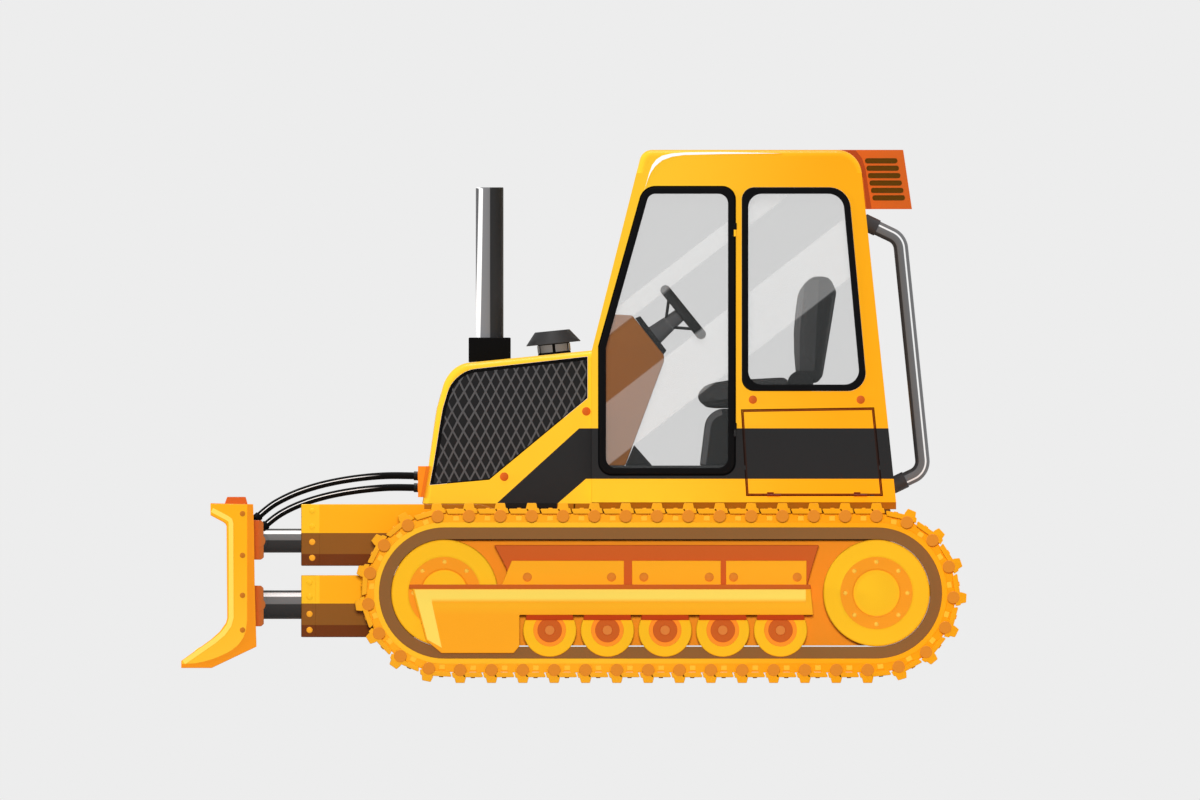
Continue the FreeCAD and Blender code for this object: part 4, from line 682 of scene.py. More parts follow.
def piece(name, shape, finishes, stands_for=(), body=None, even=True):
    """Makes a shape a finished piece that rides on a body and replaces CAD nodes."""
    bm = shape.bm
    bmesh.ops.recalc_face_normals(bm, faces=bm.faces)
    bmesh.ops.scale(bm, vec=(MM,) * 3, verts=bm.verts)
    mesh = bpy.data.meshes.new(name)
    bm.to_mesh(mesh)
    bm.free()
    for material in finishes if isinstance(finishes, (list, tuple)) else [finishes]:
        mesh.materials.append(material)
    mesh.shade_smooth()
    mesh.set_sharp_from_angle(angle=math.radians(50))
    made = bpy.data.objects.new(name, mesh)
    bpy.context.scene.collection.objects.link(made)
    if even:
        made.modifiers.new("even", "WEIGHTED_NORMAL").keep_sharp = True
    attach(made, body or body_of[stands_for[0]])
    if stands_for:
        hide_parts(*stands_for)
    return made


def mark_turn(made, direction):
    """Writes the attribute turn: 1 where the surface faces direction, 0 where it faces away."""
    direction = Vector(direction).normalized()
    mesh = made.data
    turn = mesh.attributes.new("turn", "FLOAT", "POINT")
    turn.data.foreach_set("value", [0.5 + 0.5 * v.normal.dot(direction) for v in mesh.vertices])
    return made


def mark_height(made, z, radius):
    """Writes the attribute turn for a level bar: 1 at its top, 0 at its foot."""
    mesh = made.data
    turn = mesh.attributes.new("turn", "FLOAT", "POINT")
    turn.data.foreach_set("value", [0.5 + 0.5 * max(-1.0, min(1.0, (v.co.z * 1000 - z) / radius))
                                    for v in mesh.vertices])
    return made


def mark_along(made, path):
    """Writes turn for a bent tube: 1 on the outside of its path, 0 on the inside, as seen from a side."""
    mesh = made.data
    points = [Vector((x, 0, z)) for x, y, z in path]
    turns = []
    for v in mesh.vertices:
        here = Vector((v.co.x, 0, v.co.z))
        near = min(range(1, len(points)), key=lambda i: (here - (points[i - 1] + points[i]) / 2).length)
        along = (points[near] - points[near - 1]).normalized()
        turns.append(0.5 + 0.5 * v.normal.dot(Vector((-along.z, 0, along.x))))
    mesh.attributes.new("turn", "FLOAT", "POINT").data.foreach_set("value", turns)
    return made


def dress(node, *materials):
    """Gives a CAD node that stays its finish."""
    data = frame["nodes"][node].data
    data.materials.clear()
    for material in materials:
        data.materials.append(material)


# Hoses, from the nose to the upper arms. Points are (x, y, z) of the left one, in metres.
HOSES = {
    "upper": ((0.960, 0.362, 1.243), (1.075, 0.362, 1.246), (1.190, 0.368, 1.241), (1.305, 0.378, 1.229),
              (1.430, 0.392, 1.209), (1.545, 0.409, 1.182), (1.655, 0.430, 1.146), (1.750, 0.456, 1.103),
              (1.830, 0.486, 1.056), (1.888, 0.516, 1.003)),
    "lower": ((0.960, 0.398, 1.172), (1.070, 0.399, 1.175), (1.180, 0.404, 1.169), (1.295, 0.413, 1.157),
              (1.415, 0.425, 1.138), (1.530, 0.439, 1.111), (1.635, 0.457, 1.077), (1.722, 0.482, 1.038),
              (1.792, 0.512, 0.996), (1.846, 0.545, 0.950)),
}
HOSE_R = 0.021


def hose_line(points, radius):
    """The hose's line as a smooth curve, with a wall where radius is above 0, as a mesh."""
    curve = bpy.data.curves.new("hose_line", "CURVE")
    curve.dimensions = "3D"
    curve.resolution_u = 10
    curve.bevel_depth = radius
    curve.bevel_resolution = 6
    curve.use_fill_caps = radius > 0
    spline = curve.splines.new("NURBS")
    spline.points.add(len(points) - 1)
    for point, place in zip(spline.points, points):
        point.co = (*place, 1.0)
    spline.order_u = 3
    spline.use_endpoint_u = True
    holder = bpy.data.objects.new("hose_line", curve)
    mesh = bpy.data.meshes.new_from_object(holder)
    bpy.data.objects.remove(holder)
    return mesh


def make_hose(name, side, sign):
    points = [(x, y * sign, z) for x, y, z in HOSES[name]]
    path = [v.co.copy() for v in hose_line(points, 0.0).vertices]
    mesh = hose_line(points, HOSE_R)
    mesh.materials.clear()
    mesh.materials.append(HOSE_RUBBER.material)
    mesh.shade_smooth()
    mesh.name = "hose_" + name + "_tube_" + side
    made = bpy.data.objects.new(mesh.name, mesh)
    bpy.context.scene.collection.objects.link(made)
    mark_along(made, path)
    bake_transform(made)
    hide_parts("hose_" + name + "_" + side)


for hose_name in HOSES:
    make_hose(hose_name, "left", 1)
    make_hose(hose_name, "right", -1)

# Camera, at the picture's straight side view, which has no perspective
camera = bpy.data.objects.new("camera", bpy.data.cameras.new("camera"))
camera.data.type = "ORTHO"
camera.data.ortho_scale = 7.2
camera.data.clip_end = 60.0
camera.location = (-0.157, 14.0, 1.698)
camera.rotation_euler = (math.radians(90), 0, math.radians(180))
bpy.context.scene.collection.objects.link(camera)
bpy.context.scene.camera = camera
bpy.context.scene.view_settings.view_transform = "Standard"

# Floor, background and light
BACKGROUND = "EDEDED"
AMBIENT = 0.15


def seen_rays(tree):
    """1 for rays that a camera, a mirror or glass sends out, 0 for light that bounces."""
    rays = tree.nodes.new("ShaderNodeLightPath")
    shown = rays.outputs["Is Camera Ray"]
    for name in ("Is Transmission Ray", "Is Glossy Ray"):
        either = tree.nodes.new("ShaderNodeMath")
        either.operation = "MAXIMUM"
        tree.links.new(shown, either.inputs[0])
        tree.links.new(rays.outputs[name], either.inputs[1])
        shown = either.outputs[0]
    return shown


def make_world():
    world = bpy.data.worlds.new("studio")
    bpy.context.scene.world = world
    world.use_nodes = True
    tree = world.node_tree
    mix = tree.nodes.new("ShaderNodeMix")
    mix.data_type = "RGBA"
    tree.links.new(seen_rays(tree), mix.inputs[0])
    mix.inputs[6].default_value = (AMBIENT, AMBIENT, AMBIENT, 1.0)
    mix.inputs[7].default_value = colour(BACKGROUND)
    tree.links.new(mix.outputs[2], tree.nodes["Background"].inputs["Color"])


def make_sun(name, direction, strength, softness, glossy=True):
    light = bpy.data.lights.new(name, "SUN")
    light.energy = strength
    light.angle = math.radians(softness)
    lamp = bpy.data.objects.new(name, light)
    lamp.rotation_euler = Vector(direction).to_track_quat("Z", "Y").to_euler()
    lamp.visible_glossy = glossy
    bpy.context.scene.collection.objects.link(lamp)


def make_floor():
    """A pale floor that fades into the background away from the machine."""
    finish = Finish("floor_pale", roughness=0.9, shine=0.0)
    away = (finish.x * finish.x + finish.y * finish.y) ** 0.5
    finish.set(Base_Color=finish.mix(seen_rays(finish.tree), "8C8C8C", "EFEFEF"),
               Alpha=1.0 - away.rise(3300.0, 6300.0))
    bm = bmesh.new()
    bmesh.ops.create_circle(bm, cap_ends=True, segments=96, radius=6.6)
    mesh = bpy.data.meshes.new("floor")
    bm.to_mesh(mesh)
    bm.free()
    mesh.materials.append(finish.material)
    floor = bpy.data.objects.new("floor", mesh)
    bpy.context.scene.collection.objects.link(floor)


make_world()
make_sun("left", (0.0, 1.0, 0.04), 2.45, 3.0, glossy=False)
make_sun("right", (0.0, -1.0, 0.04), 2.45, 3.0, glossy=False)
make_sun("above", (0.1, 0.05, 1.0), 1.7, 25.0)
make_sun("ahead", (1.0, 0.08, 0.12), 1.9, 10.0, glossy=False)
make_sun("behind", (-1.0, -0.08, 0.12), 1.9, 10.0, glossy=False)
make_floor()


# Tracks
def loop_place(s, r=0.0):
    """The place and direction at arc length s of the pin line, moved out by r."""
    straight = IDLER_X - SPROCKET_X
    bend = math.pi * PIN_LINE_R
    s = s % (2 * (straight + bend))
    out = PIN_LINE_R + r
    if s < straight:
        return Vector((SPROCKET_X + s, 0, WHEEL_Z + out)), Vector((1, 0, 0))
    s -= straight
    if s < bend:
        angle = math.pi / 2 - s / PIN_LINE_R
        wheel_x = IDLER_X
    elif s < bend + straight:
        return Vector((IDLER_X - (s - bend), 0, WHEEL_Z - out)), Vector((-1, 0, 0))
    else:
        angle = -math.pi / 2 - (s - bend - straight) / PIN_LINE_R
        wheel_x = SPROCKET_X
    place = Vector((wheel_x + out * math.cos(angle), 0, WHEEL_Z + out * math.sin(angle)))
    return place, Vector((math.sin(angle), 0, -math.cos(angle)))


PITCH = (2 * (IDLER_X - SPROCKET_X) + 2 * math.pi * PIN_LINE_R) / SHOES


def frame_at(point, along):
    """A frame at a point of the loop: X along it, Z outwards, Y across the machine."""
    out = Vector((-along.z, 0, along.x))
    turn = Matrix((along, (0, 1, 0), out)).transposed().to_4x4()
    return Matrix.Translation(point + Vector((0, TRACK_Y, 0))) @ turn


pin_points = [loop_place(i * PITCH) for i in range(SHOES)]
PIN_PLACES = [frame_at(point, along) for point, along in pin_points]
LINK_PLACES = [frame_at(a[0], (b[0] - a[0]).normalized())
               for a, b in zip(pin_points, pin_points[1:] + pin_points[:1])]
PLATE_PROFILE = ((10, 13), (126, 13), (137, 38), (133, 44), (20, 44))
LUG_PROFILE = ((-52, 16), (20, 16), (34, 40), (34, 48), (27, 76), (24, 78), (-24, 78), (-27, 76), (-34, 48),
               (-44, 46))
LINK_PROFILE = ((-22, -46), (160, -46), (172, -40), (172, -4), (160, 15), (97, 15), (95, 6), (58, 6),
                (56, 15), (-20, 15), (-24, -8))


def make_track(side, place):
    shoes = Shape()
    half = SHOE_W / 2 - 4.0
    unit = Shape()
    unit.plate(PLATE_PROFILE, -half, half, edge=2.5, segments=1, limit=40.0)
    for y in (-ROW_Y - 32, -ROW_Y + 32, ROW_Y - 32, ROW_Y + 32):
        unit.spun(((0, 5), (11, 5), (13, 3), (13, -2)), Matrix.Translation((76, y, 44)), steps=6)
    shoes.add(unit.bm, tint=None, places=LINK_PLACES)
    unit = Shape()
    unit.plate(LUG_PROFILE, -half, half, edge=2.5, segments=1, limit=40.0)
    unit.bar((0, -half, 0), (0, half, 0), 24.0, edge=0, sides=20, tint=1)
    for out in (-1, 1):
        unit.bar((0, out * (half - 6), 0), (0, out * (half + 4), 0), 37.5, edge=3.0, sides=32, tint=1)
    shoes.add(unit.bm, tint=None, places=PIN_PLACES)
    shoes.bm.transform(place)
    links = Shape()
    unit = Shape()
    for row in (-ROW_Y, ROW_Y):
        out = 1 if row > 0 else -1
        unit.plate(LINK_PROFILE, row - 24, row + 24, edge=4.0, limit=40.0)
        unit.block(60, 96, row + out * 20, row + out * 29, -28, 2, edge=3.0, tint=1)
        unit.bar((0, row - 28, 0), (0, row + 28, 0), 45.0, edge=3.0)
    links.add(unit.bm, tint=None, places=LINK_PLACES)
    unit = Shape()
    for out in (-1, 1):
        face = ROW_Y + ROW_W / 2
        unit.bar((0, out * (face - 4), 0), (0, out * (face + 5), 0), 35.0, edge=3.5, sides=32, tint=2)
    links.add(unit.bm, tint=None, places=PIN_PLACES)
    links.bm.transform(place)
    rails = Shape()
    for row in (TRACK_Y - ROW_Y, TRACK_Y + ROW_Y):
        # The brown inner band of the rails: partly painted shade of the track's inside.
        rails.ring(stadium(RAIL_OUT_R), stadium(RAIL_IN_R), row - 29, row + 29, edge=4.0, limit=40.0)
        rails.ring(stadium(RAIL_OUT_R + 32), stadium(RAIL_OUT_R - 1), row - 26, row + 29.5, edge=3.0,
                   tint=1, limit=40.0)
        rails.ring(stadium(PIN_LINE_R + 12), stadium(RAIL_OUT_R + 20), row - 20, row + 20, edge=0, tint=2)
    rails.bm.transform(place)
    node = "track_" + side
    piece("track_shoes_" + side, shoes, [SHOE, PIN_BROWN], (node,))
    piece("track_links_" + side, links, [LINK, LINK_PAD, PIN_BROWN], (node,))
    piece("track_rails_" + side, rails, [INNER_BAND_SHADE, LINK_LIGHT, LINK], (node,))


for side, place in SIDES:
    make_track(side, place)


# Wheels and rollers
def make_wheels(node, x):
    wheels = Shape()
    face = HUB_OUT_Y - 22.0
    profile = ((0, WEB_Y + 20), (218, WEB_Y + 20), (218, 770), (WHEEL_R - 6, 770), (WHEEL_R, 776),
               (WHEEL_R, face - 14), (WHEEL_R - 4, face - 5), (WHEEL_R - 14, face), (232, face),
               (218, face + 8), (216, face + 10))
    wheels.spun(profile, across(x, WHEEL_Z), steps=96, places=BOTH)
    ring = ((218, face + 6), (216, face + 10.5), (147, face + 10.5), (144, face + 6), (136, face))
    wheels.spun(ring, across(x, WHEEL_Z), steps=96, tint=1, places=BOTH)
    hub = ((145, face - 4), (138, face + 1), (110, face + 9), (75, face + 17), (38, face + 21), (0, face + 22))
    wheels.spun(hub, across(x, WHEEL_Z), steps=96, places=BOTH)
    for k in range(8):
        angle = math.radians(45 * k)
        wheels.bolt(x + 187 * math.cos(angle), WHEEL_Z + 187 * math.sin(angle), face + 10, 14.0, tint=2)
    return piece(node + "_turned", wheels, [WHEEL, WHEEL_RING, BOLT_PALE], (node,))


make_wheels("idlers", IDLER_X)
make_wheels("sprockets", SPROCKET_X)

rollers = Shape()
ROLLER_PROFILE = ((0, WEB_Y + 20), (30, WEB_Y + 20), (30, 750), (150, 750), (160, 756), (160, 774),
                  (154, 778), (77, 778), (77, 1022), (154, 1022), (160, 1028), (160, 1044), (154, 1050),
                  (98, 1050), (96, 1047), (74, 1047), (72, 1052), (34, 1054), (30, 1050), (28, 1056),
                  (0, 1056))
rollers.spun(ROLLER_PROFILE, across(0, ROLLER_Z), steps=72,
             places=[side @ Matrix.Translation((x, 0, 0)) for x in ROLLER_X for side in BOTH])
piece("rollers_turned", rollers, ROLLER, ("rollers",))


# Track frames and guards
LIDS = ((373.0, -301.0, 60.0), (-349.0, -882.0, 0.0), (-913.0, -1396.0, 0.0))
LID_BOLTS = (279.0, -226.0, -420.0, -812.0, -958.0, -1340.0)


def make_track_frame(side, place):
    body = Shape()
    body.plate(stadium(315.0), WEB_Y, WEB_Y + 20, edge=3.0, limit=40.0)
    body.block(-1422, 430, WEB_Y + 20, BEAM_OUT_Y, 490, 590, edge=8.0)
    # The deep orange case behind the lids stands for the frame's shaded recess: painted shade.
    body.block(-1380, 380, WEB_Y + 18, 782, 588, 650, edge=3.0, tint=1)
    body.plate(((409, 695), (478, 828), (-1471, 828), (-1429, 694), (-1400, 588), (373, 588)), 780, 1000,
               edge=6.0, tint=1)
    for front, back, slant in LIDS:
        lid = ((front + max(0.0, slant), 588), (front, 734), (back, 734), (back + min(0.0, slant), 588))
        body.plate(lid, 998, 1030, edge=4.0, tint=2)
    for x in LID_BOLTS:
        body.bolt(x, 635.0, 1029.0, 28.0, 8.0, tint=3, places=HERE)
    for x in ROLLER_X:
        cap = ((x - 144, 378), (x + 144, 378), (x + 129, 489), (x - 129, 489))
        low = ((x - 144, 378), (x + 144, 378), (x + 140, 408), (x - 140, 408))
        body.plate(cap, BEAM_OUT_Y - 6, BEAM_OUT_Y, edge=1.5)
        # The dark red lips above the rollers are real lips and also stand for the shadow under the beam: partly
        # painted shade.
        body.plate(low, BEAM_OUT_Y - 2, BEAM_OUT_Y + 26, edge=3.0, tint=4)
    body.bm.transform(place)
    piece("track_frame_box_" + side, body, [ORANGE, DEEP_ORANGE_AND_SHADE, LID_YELLOW, BOLT_BROWN, CAP_RED_AND_SHADE],
          ("track_frame_" + side,))


for side, place in SIDES:
    make_track_frame(side, place)

guards = Shape()
GUARD_OUTLINE = ((985, 565), (983, 591), (-1418, 591), (-1437, 408), (326, 408), (326, 221),
                 (361, 179), (794, 179), (888, 256), (968, 560))
guards.plate(GUARD_OUTLINE, BEAM_OUT_Y, GUARD_OUT_Y, edge=5.0, places=BOTH)
guards.plate(((990, 565), (988, 591), (-1420, 591), (-1422, 563)), GUARD_OUT_Y - 2, GUARD_OUT_Y + 18,
             edge=4.0, tint=1, places=BOTH)
# Painted highlight along the guard's top and its slanted front edge.
GUARD_LIGHT = ((958, 562), (880, 262), (872, 256), (792, 211), (852, 484), (-1392, 484), (-1392, 562))
guards.plate(GUARD_LIGHT, GUARD_OUT_Y - 2, GUARD_OUT_Y + 3, edge=2.0, tint=2, places=BOTH)
piece("guards_folded", guards, [GUARD, GUARD_LIP, GUARD_GLEAM], ("track_guards",))


# Blade
BLADE_OUTLINE = ((2180, 1079), (1924, 1073), (1919, 908), (1915, 598), (1904, 218), (2173, 90), (2356, 90),
                 (2356, 133), (2176, 262), (2124, 309), (2087, 361), (2080, 391), (2084, 949), (2103, 965),
                 (2180, 1006))
BLADE_CHEEK = ((2178, 1074), (1960, 1070), (1960, 376), (1966, 320), (1982, 272), (2010, 231), (2046, 200),
               (2079, 180), (2122, 160), (2171, 141), (2220, 127), (2270, 117), (2352, 112), (2352, 131),
               (2176, 257), (2121, 306), (2083, 359), (2076, 391), (2080, 951), (2101, 969), (2178, 1010))
GLEAM_LINE = ((2171, 1038), (2084, 992), (2062, 977), (2057, 960), (2055, 391), (2068, 345), (2104, 296),
              (2158, 250), (2340, 124))


def strip_outline(line, half):
    """A band of one width along a line of (x, z) points."""
    left = []
    right = []
    for i, point in enumerate(line):
        before = Vector(line[max(0, i - 1)])
        after = Vector(line[min(len(line) - 1, i + 1)])
        along = (after - before).normalized()
        side = Vector((-along.y, along.x)) * half
        left.append(tuple(Vector(point) + side))
        right.append(tuple(Vector(point) - side))
    return left + right[::-1]


def make_blade():
    blade = Shape()
    blade.plate(BLADE_OUTLINE, BLADE_Y - 30, BLADE_Y - 6, edge=3.0, tint=1, places=BOTH)
    blade.plate(BLADE_CHEEK, BLADE_Y - 8, BLADE_Y - 1, edge=4.0, places=BOTH)
    # Painted highlight: a pale strip along the end plate's front edge.
    blade.plate(strip_outline(GLEAM_LINE, 14.0), BLADE_Y - 3, BLADE_Y, edge=1.5, tint=2, places=BOTH)
    for z in (1016.0, 766.0, 526.0, 318.0):
        blade.bolt(1988.0, z, BLADE_Y - 2, 17.0, 5.0, tint=3)
    inner = BLADE_Y - 28
    lower = arc(2230.0, 391.0, 150.0, 180.0, 226.0, 8)
    skin = [(2180, 1006), (2103, 965), (2090, 955), (2084, 940)] + lower + [(2176, 262), (2200, 245)]
    back = [(x - 22, z - 4) for x, z in reversed(skin)]
    blade.plate(skin + back, -inner, inner, edge=2.0, limit=40.0)
    top = ((2180, 1006), (2180, 1079), (1924, 1073), (1960, 1000), (1960, 880), (2070, 880), (2070, 960))
    low = ((2068, 430), (1960, 430), (1960, 290), (1990, 200), (2150, 130), (2200, 92), (2186, 240),
           (2110, 290), (2068, 360))
    blade.plate(top, -inner, inner, edge=5.0)
    blade.plate(low, -inner, inner, edge=5.0, tint=1)
    for y in (60.0, 430.0, 635.0, 1050.0):
        blade.plate(((1960, 428), (2072, 428), (2072, 884), (1960, 884)), y, y + 25, edge=3.0, tint=1,
                    places=BOTH)
    piece("blade_body", blade, [BLADE_YELLOW, BLADE_ORANGE, GLEAM, BOLT_DARK], ("blade_shell",))
    edge = Shape()
    outline = ((2196, 90), (2356, 90), (2356, 133), (2176, 262))
    edge.plate(outline, -BLADE_Y + 28, BLADE_Y - 28, edge=3.0)
    for y in range(-1320, 1321, 220):
        place = place_on((2258, y, 203), (2258 + 0.58, y, 203 + 0.81))
        edge.spun(((0, 3), (14, 3), (18, 1), (19, -4)), place, steps=24)
    piece("cutting_edge_bolted", edge, GLEAM, ("cutting_edge",))
    brackets = Shape()
    for z0, z1, pin_z in ((740, 978, UPPER_Z), (340, 586, LOWER_Z)):
        outline = ((1860, z0 + 14), (1862, z1 - 16), (1876, z1 - 2), (1960, z1), (1960, z0), (1876, z0))
        for y in (430.0, 635.0):
            brackets.plate(outline, y, y + 25, edge=4.0, places=BOTH)
        brackets.bar((BLADE_PIN_X, 430, pin_z), (BLADE_PIN_X, 662, pin_z), 40.0, edge=3.0, places=BOTH)
    brackets.plate(((1957, 1072), (2095, 1076), (2080, 1117), (1969, 1117)), -1200, 1200, edge=4.0, tint=2)
    piece("blade_brackets_bevelled", brackets, [BRACKET_ORANGE, BOLT_DARK, DEEP_ORANGE_AND_SHADE], ("blade_brackets",))


make_blade()


# Arms, rods and lift cylinders
def make_arm(kind, node, rods, z, low, high, rod_r, plate_x, bolts, finish):
    for side, place in SIDES:
        arm = Shape()
        outline = ((PIVOT_X, z - 75), (ARM_WIDE_X, low), (ARM_X1, low), (ARM_X1, high), (ARM_WIDE_X, high),
                   (PIVOT_X, z + 75))
        eye = arc(PIVOT_X, z, 75.0, 96.0, 264.0, 20)
        arm.plate(list(outline[1:5]) + eye, ARM_Y0, ARM_Y1, edge=6.0, limit=40.0)
        arm.plate(((plate_x, low + 3), (ARM_X1 - 2, low + 3), (ARM_X1 - 2, high - 3), (plate_x, high - 3)),
                  ARM_Y1 - 2, ARM_Y1 + 4, edge=2.0)
        for bolt_x, bolt_z, tint in bolts:
            arm.bolt(bolt_x, bolt_z, ARM_Y1 + 3, 19.0, 7.0, tint=tint, places=HERE)
        arm.bm.transform(place)
        piece(kind + "_box_" + side, arm, [finish, BOLT_GOLD], (node + "_" + side,))
    shafts = Shape()
    length = BLADE_PIN_X - 24 - ARM_X1
    profile = ((rod_r, 0), (rod_r, 4), (rod_r, length - 4), (rod_r, length), (50, length + 14), (0, length + 14))
    place = Matrix.Translation((ARM_X1, ARM_Y, z)) @ Matrix.Rotation(math.radians(90), 4, "Y")
    shafts.spun(profile, place, steps=72, places=BOTH)
    eye = ((41, -85), (54, -85), (58, -81), (58, 81), (54, 85), (41, 85), (41, -85))
    shafts.spun(eye, across(BLADE_PIN_X, z, ARM_Y), steps=56, places=BOTH)
    mark_height(piece(kind + "_rods_turned", shafts, ROD, (rods,)), z, rod_r)


make_arm("upper_arm", "upper_arm", "upper_rods", UPPER_Z, 703.0, 1073.0, 72.0, 1526.0,
         ((1570.0, 846.0, 1), (1570.0, 751.0, 1), (1570.0, 1032.0, 0), (1570.0, 939.0, 0)), UPPER_ARM)
make_arm("push_arm", "push_arm", "push_rods", LOWER_Z, 275.0, 647.0, 86.0, 1550.0,
         ((1586.0, 414.0, 1), (1586.0, 318.0, 1), (1586.0, 603.0, 0), (1586.0, 516.0, 0)), LOWER_ARM)

piece("cross_tube_soft", Shape().copy_of("cross_tube", 4.0), ORANGE, ("cross_tube",))
mark_turn(piece("lift_barrels_soft", Shape().copy_of("lift_barrels", 3.0), BARREL, ("lift_barrels",)), (0, 0, 1))
mark_turn(piece("lift_rods_soft", Shape().copy_of("lift_rods", 2.0), ROD, ("lift_rods",)), (0, 0, 1))

# Frames
piece("main_frame_soft", Shape().copy_of("main_frame", 8.0), DARK, ("main_frame",))
piece("drawbar_soft", Shape().copy_of("drawbar", 5.0), DARK, ("drawbar",))
piece("pivot_ears_soft", Shape().copy_of("pivot_ears", 4.0), DARK, ("pivot_ears",))
nose = Shape().copy_of("nose_frame", 3.0).block(-110, 4, -HOOD_Y, HOOD_Y, 1042, 1077)
piece("nose_frame_soft", nose, DECK, ("nose_frame",))
piece("engine_block_soft", Shape().copy_of("engine_block", 12.0), ENGINE, ("engine_block",))
piece("cab_floor_soft", Shape().copy_of("cab_floor", 2.0), DECK, ("cab_floor",))

# Hood, mesh panels, grille, stack and pre-cleaner
piece("hood_bowed", Shape().copy_of("hood", 2.0).bow(), YELLOW, ("hood",))
MESH_PITCH_X = 60.7
MESH_PITCH_Z = 118.1


def make_mesh(side, place):
    """Two layers of slanted bars, cut to the panel's outline, in a black rim, with a wider black strip of
    painted shadow along its front and top.
    """
    outline = rounded(MESH_OUTLINE)
    bars = bmesh.new()
    slope = MESH_PITCH_Z / MESH_PITCH_X
    turn = math.atan(slope)
    for lean, y in ((1, 407.0), (-1, 411.0)):
        for k in range(-34, 36):
            middle = Vector((377.5 + k * MESH_PITCH_X, y, 1571.5))
            spin = Matrix.Rotation(-lean * turn, 4, "Y")
            size = Matrix.Diagonal((2600.0, 5.0, 10.5, 1.0))
            bmesh.ops.create_cube(bars, size=1.0, matrix=Matrix.Translation(middle) @ spin @ size)
    turned = outline if sum(p[0] * q[1] - q[0] * p[1] for p, q in
                            zip(outline, outline[1:] + outline[:1])) > 0 else outline[::-1]
    hull = grown(turned, -3.0)
    for p, q in zip(hull, hull[1:] + hull[:1]):
        if math.dist(p, q) < 1.0:
            continue
        normal = Vector((q[1] - p[1], 0, p[0] - q[0])).normalized()
        corner = sum(1 for r in hull if (Vector((r[0], 0, r[1])) - Vector((p[0], 0, p[1]))).dot(normal) > 1.0)
        if corner:
            continue
        made = bmesh.ops.bisect_plane(bars, geom=bars.verts[:] + bars.edges[:] + bars.faces[:],
                                      plane_co=(p[0], 0, p[1]), plane_no=normal, clear_outer=True)
        edges = [e for e in made["geom_cut"] if isinstance(e, bmesh.types.BMEdge)]
        bmesh.ops.holes_fill(bars, edges=edges)
    panel = Shape()
    panel.add(bars)
    panel.ring(grown(outline, -1.0), grown(outline, -7.0), 404, 419, edge=2.0, tint=1, limit=40.0)
    # Painted shadow: a wider black strip along the panel's front and top, where the opening's depth throws
    # shade.
    edge = [point for point in grown(outline, -11.0) if point[1] > 1180.0 and point[0] > -100.0]
    shadow_border = [point for point in edge if point[1] > 1900.0 or point[0] > 560.0]
    panel.plate(strip_outline(sorted(shadow_border, key=lambda p: p[1] - p[0]), 10.0), 412, 420, edge=2.0, tint=1,
                limit=40.0)
    panel.plate(grown(outline, -2.0), 392, 396, edge=0, tint=2)
    panel.bow()
    panel.bm.transform(place)
    piece("mesh_lattice_" + side, panel, [MESH_GREY, BLACK, BACKING], ("mesh_panel_" + side,))


for side, place in SIDES:
    make_mesh(side, place)

piece("radiator_grille_soft", Shape().copy_of("radiator_grille", 2.0).bow(), BLACK, ("radiator_grille",))

stack = Shape()
pipe = ((0, 2070), (83, 2070), (83, 2955), (83, 2966), (81, 2974), (79, 2974), (78, 2968), (78, 2110),
        (0, 2110))
stack.spun(pipe, Matrix.Translation((STACK_X, 0, 0)), steps=80)
stack.plate(((631.5, 1923.5), (631.5, 2073), (378.5, 2073), (378.5, 1943.5)), -126.5, 126.5, edge=6.0, tint=1)
mark_turn(piece("exhaust_pipe", stack, [STACK, BLACK], ("exhaust_stack",)), (1, 0, 0))

CLEANER_LEAN = math.atan2(1996.0 - 1910.0, 755.0 + 108.0)
cleaner = Shape()
cleaner_place = Matrix.Translation((CLEANER_X, 0, 1973.7)) @ Matrix.Rotation(CLEANER_LEAN, 4, "Y")
cleaner.spun(((0, 0), (99, 0), (99, 8), (95, 10), (95, 60), (99, 62), (99, 70), (0, 70)), cleaner_place)
cleaner.spun(((60, 64), (161, 62), (163, 63), (163, 66), (106, 138), (101, 140), (0, 140)), cleaner_place,
             tint=1)
pane = arc(0.0, 0.0, 99.5, -25.0, 25.0, 8) + arc(0.0, 0.0, 93.0, 25.0, -25.0, 8)
for k in range(6):
    turn = Matrix.Rotation(math.radians(60 * k), 4, "Z") @ Matrix.Rotation(math.radians(90), 4, "X")
    cleaner.plate(pane, 12, 58, edge=2.0, tint=2, limit=40.0, places=[cleaner_place @ turn])
piece("air_precleaner_bowl", cleaner, [BLACK, CHARCOAL, CLEANER_GREY], ("air_precleaner",))

panel_bolts = Shape()
for bolt_x, bolt_z in ((418.0, 1238.0), (-75.0, 1630.0)):
    panel_bolts.bolt(bolt_x, bolt_z, HOOD_Y, 26.0, 9.0)
piece("hood_bolts", panel_bolts, BOLT_RED, body="chassis")

# Cab
for node in ("cab_front", "cab_rear", "cab_roof", "cab_side_left", "cab_side_right",
             "service_flap_left", "service_flap_right"):
    dress(node, YELLOW)
for node in ("cab_glass", "door_glass_left", "door_glass_right"):
    dress(node, GLASS)


def inner_line(points, width, radii):
    """The inner edge of a rubber frame, with corner radii of its own."""
    inset = grown([(x, z) for x, z, r in points], -width)
    return rounded([(x, z, radius) for (x, z), radius in zip(inset, radii)])


def make_door(side, place):
    door = Shape()
    outline = rounded(DOOR_OUTLINE)
    opening = inner_line(DOOR_OUTLINE, 40.0, (60.0, 0.0, 50.0, 58.0, 60.0))
    door.ring(outline, opening, 645, 706, edge=9.0, segments=3, limit=40.0)
    for z in (1500.0, 2700.0):
        low = z + 20.3
        door.bar((-969, 715.3, low), (-969, 715.3, low + 40), 9.0, edge=1.5, sides=24)
        door.block(-967, -938, 705, 711, low, low + 40, edge=1.5)
    door.bm.transform(place)
    piece("door_frame_" + side, door, RUBBER, ("door_" + side,))


for side, place in SIDES:
    make_door(side, place)

